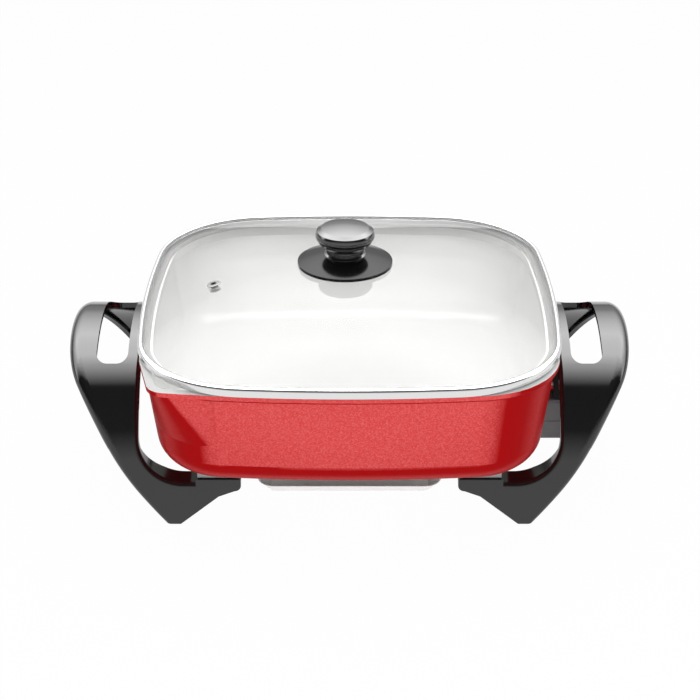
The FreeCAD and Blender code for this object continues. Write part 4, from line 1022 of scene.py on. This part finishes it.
@dataclass
class Studio:
    """Plain white table, soft boxes and the camera, in metres.

    Attributes:
        eye: place of the camera.
        pitch: degrees by which it looks up from straight down.
        focal: its focal length in millimetres.
        sensor: width of its sensor in millimetres.
        floor_half: half the table's side.
        floor_z: height of the table, just under the feet so that no two faces coincide.
        boxes: the lamps.
        aim: the point that the lamps face.
        fill: light from all round on surfaces without gloss.
        glow: how much of the table's white is seen without its shading; reflections see it all.
        box_half: where the long box overhead starts to fade to the sides, as part of a radius.
        box_fade: where it has faded.
        side_level: share of its brightness that is left there.
        gloss_top: level that its ramp holds as white.
        gloss_stops: its brightness by degrees above the front horizon, over the top to the rear.
    """

    eye: Point = (0.0004, -1.338, 0.7688)
    pitch: float = 63.566
    focal: float = 92.12
    sensor: float = 36.0
    floor_half: float = 6.0
    floor_z: float = -0.0001
    boxes: tuple[SoftBox, ...] = (
        SoftBox("overhead_box", place=(0.0, 0.1, 1.7), size=2.6, power=17.0),
        SoftBox("front_box", place=(0.1, -1.9, 0.7), size=0.8, power=18.0))
    aim: Point = (0.0, 0.0, 0.1)
    fill: float = 0.36
    glow: float = 0.97
    box_half: float = 0.6
    box_fade: float = 0.9
    side_level: float = 0.45
    gloss_top: float = 8.4
    gloss_stops: tuple[Pair, ...] = (
        (0, 1.0), (26, 0.12), (66, 0.1), (73, 1.7), (97, 8.3),
        (122, 8.0), (148, 3.1), (163, 1.0), (180, 0.3))

    def sky(self) -> None:
        """White behind everything; for gloss a long box overhead, brightest just behind the top."""
        world = bpy.data.worlds.new("studio")
        bpy.context.scene.world = world
        world.use_nodes = True
        tree = world.node_tree
        tree.nodes.clear()
        ray = add_node(tree, "ShaderNodeLightPath")
        where = add_node(tree, "ShaderNodeTexCoord")
        split = add_node(tree, "ShaderNodeSeparateXYZ", None,
                         {"Vector": where.outputs["Generated"]})
        ahead = add_node(tree, "ShaderNodeMath", {"operation": "MULTIPLY", 1: -1.0},
                         {0: split.outputs["Y"]})
        angle = add_node(tree, "ShaderNodeMath", {"operation": "ARCTAN2"},
                         {0: split.outputs["Z"], 1: ahead.outputs["Value"]})
        share = add_node(tree, "ShaderNodeMath", {"operation": "DIVIDE", 1: math.pi},
                         {0: angle.outputs["Value"]})
        ramp = add_node(tree, "ShaderNodeValToRGB", None, {"Fac": share.outputs["Value"]})
        stops = [(degrees / 180, bright) for degrees, bright in self.gloss_stops]
        set_levels(ramp.color_ramp, stops, self.gloss_top)
        along = add_node(tree, "ShaderNodeMath", {"operation": "MULTIPLY", 1: self.gloss_top},
                         {0: ramp.outputs["Color"]})
        aside = add_node(tree, "ShaderNodeMath", {"operation": "ABSOLUTE"},
                         {0: split.outputs["X"]})
        ends = add_node(tree, "ShaderNodeMapRange",
                        {"From Min": self.box_half, "From Max": self.box_fade,
                         "To Min": 1.0, "To Max": self.side_level},
                        {"Value": aside.outputs["Value"]})
        level = add_node(tree, "ShaderNodeMath", {"operation": "MULTIPLY"},
                         {0: along.outputs["Value"], 1: ends.outputs["Result"]})
        glossy = add_node(tree, "ShaderNodeMix", {"data_type": "FLOAT", 2: self.fill},
                          {0: ray.outputs["Is Glossy Ray"], 3: level.outputs["Value"]})
        final = add_node(tree, "ShaderNodeMix", {"data_type": "FLOAT", 3: 1.0},
                         {0: seen_straight(tree, ray), 2: glossy.outputs[0]})
        background = add_node(tree, "ShaderNodeBackground", {"Color": linear(WHITE)},
                              {"Strength": final.outputs[0]})
        add_node(tree, "ShaderNodeOutputWorld", None,
                 {"Surface": background.outputs["Background"]})

    def paint(self) -> bpy.types.Material:
        """Mixes the table's white, which stays white behind the pan and keeps its shadow.

        Returns:
            The material.
        """
        paint = bpy.data.materials.new("white_table")
        paint.use_nodes = True
        tree = paint.node_tree
        tree.nodes.clear()
        lit = add_node(tree, "ShaderNodeBsdfDiffuse", {"Color": linear(WHITE)})
        glow = add_node(tree, "ShaderNodeEmission", {"Color": linear(WHITE), "Strength": 1.0})
        ray = add_node(tree, "ShaderNodeLightPath")
        straight = add_node(tree, "ShaderNodeMath", {"operation": "MULTIPLY", 1: self.glow},
                            {0: seen_straight(tree, ray)})
        share = add_node(tree, "ShaderNodeMath", {"operation": "MAXIMUM"},
                         {0: straight.outputs["Value"], 1: ray.outputs["Is Glossy Ray"]})
        both = add_node(tree, "ShaderNodeMixShader", None,
                        {0: share.outputs["Value"], 1: lit.outputs["BSDF"],
                         2: glow.outputs["Emission"]})
        add_node(tree, "ShaderNodeOutputMaterial", None, {"Surface": both.outputs["Shader"]})
        return paint

    def floor(self) -> None:
        """Lays the table."""
        half, low = self.floor_half, self.floor_z
        mesh = bpy.data.meshes.new("table")
        corners = [(-half, -half, low), (half, -half, low), (half, half, low), (-half, half, low)]
        mesh.from_pydata(corners, [], [(0, 1, 2, 3)])
        mesh.materials.append(self.paint())
        table = placed("table", mesh)

    def lamp(self, box: SoftBox) -> None:
        """Hangs one lamp; reflections show the sky's long box instead of it.

        Args:
            box: the lamp.
        """
        light = bpy.data.lights.new(box.name, "AREA")
        light.shape = "SQUARE"
        light.size = box.size
        light.energy = box.power
        lamp = placed(box.name, light)
        lamp.location = box.place
        facing = Vector(self.aim) - Vector(box.place)
        lamp.rotation_euler = facing.to_track_quat("-Z", "Y").to_euler()
        lamp.visible_glossy = False

    def camera(self) -> None:
        """Looks down at the front of the pan."""
        data = bpy.data.cameras.new("camera")
        data.lens = self.focal
        data.sensor_width = self.sensor
        camera = placed("camera", data)
        camera.location = self.eye
        camera.rotation_euler = (math.radians(self.pitch), 0.0, 0.0)
        bpy.context.scene.camera = camera

    def build(self) -> None:
        """Sets up the whole studio."""
        self.sky()
        self.floor()
        for box in self.boxes:
            self.lamp(box)
        self.camera()


def main() -> None:
    """Builds the studio and every group, in order."""
    logging.basicConfig(level=logging.INFO, format="%(message)s")
    bpy.context.scene.view_settings.view_transform = "Standard"
    Studio().build()
    for group in (Vessel(), SideUnits(), Lid(), Control(), Dial()):
        group.build()
        LOG.info("%s is dressed", type(group).__name__)


if __name__ == "__main__":
    main()
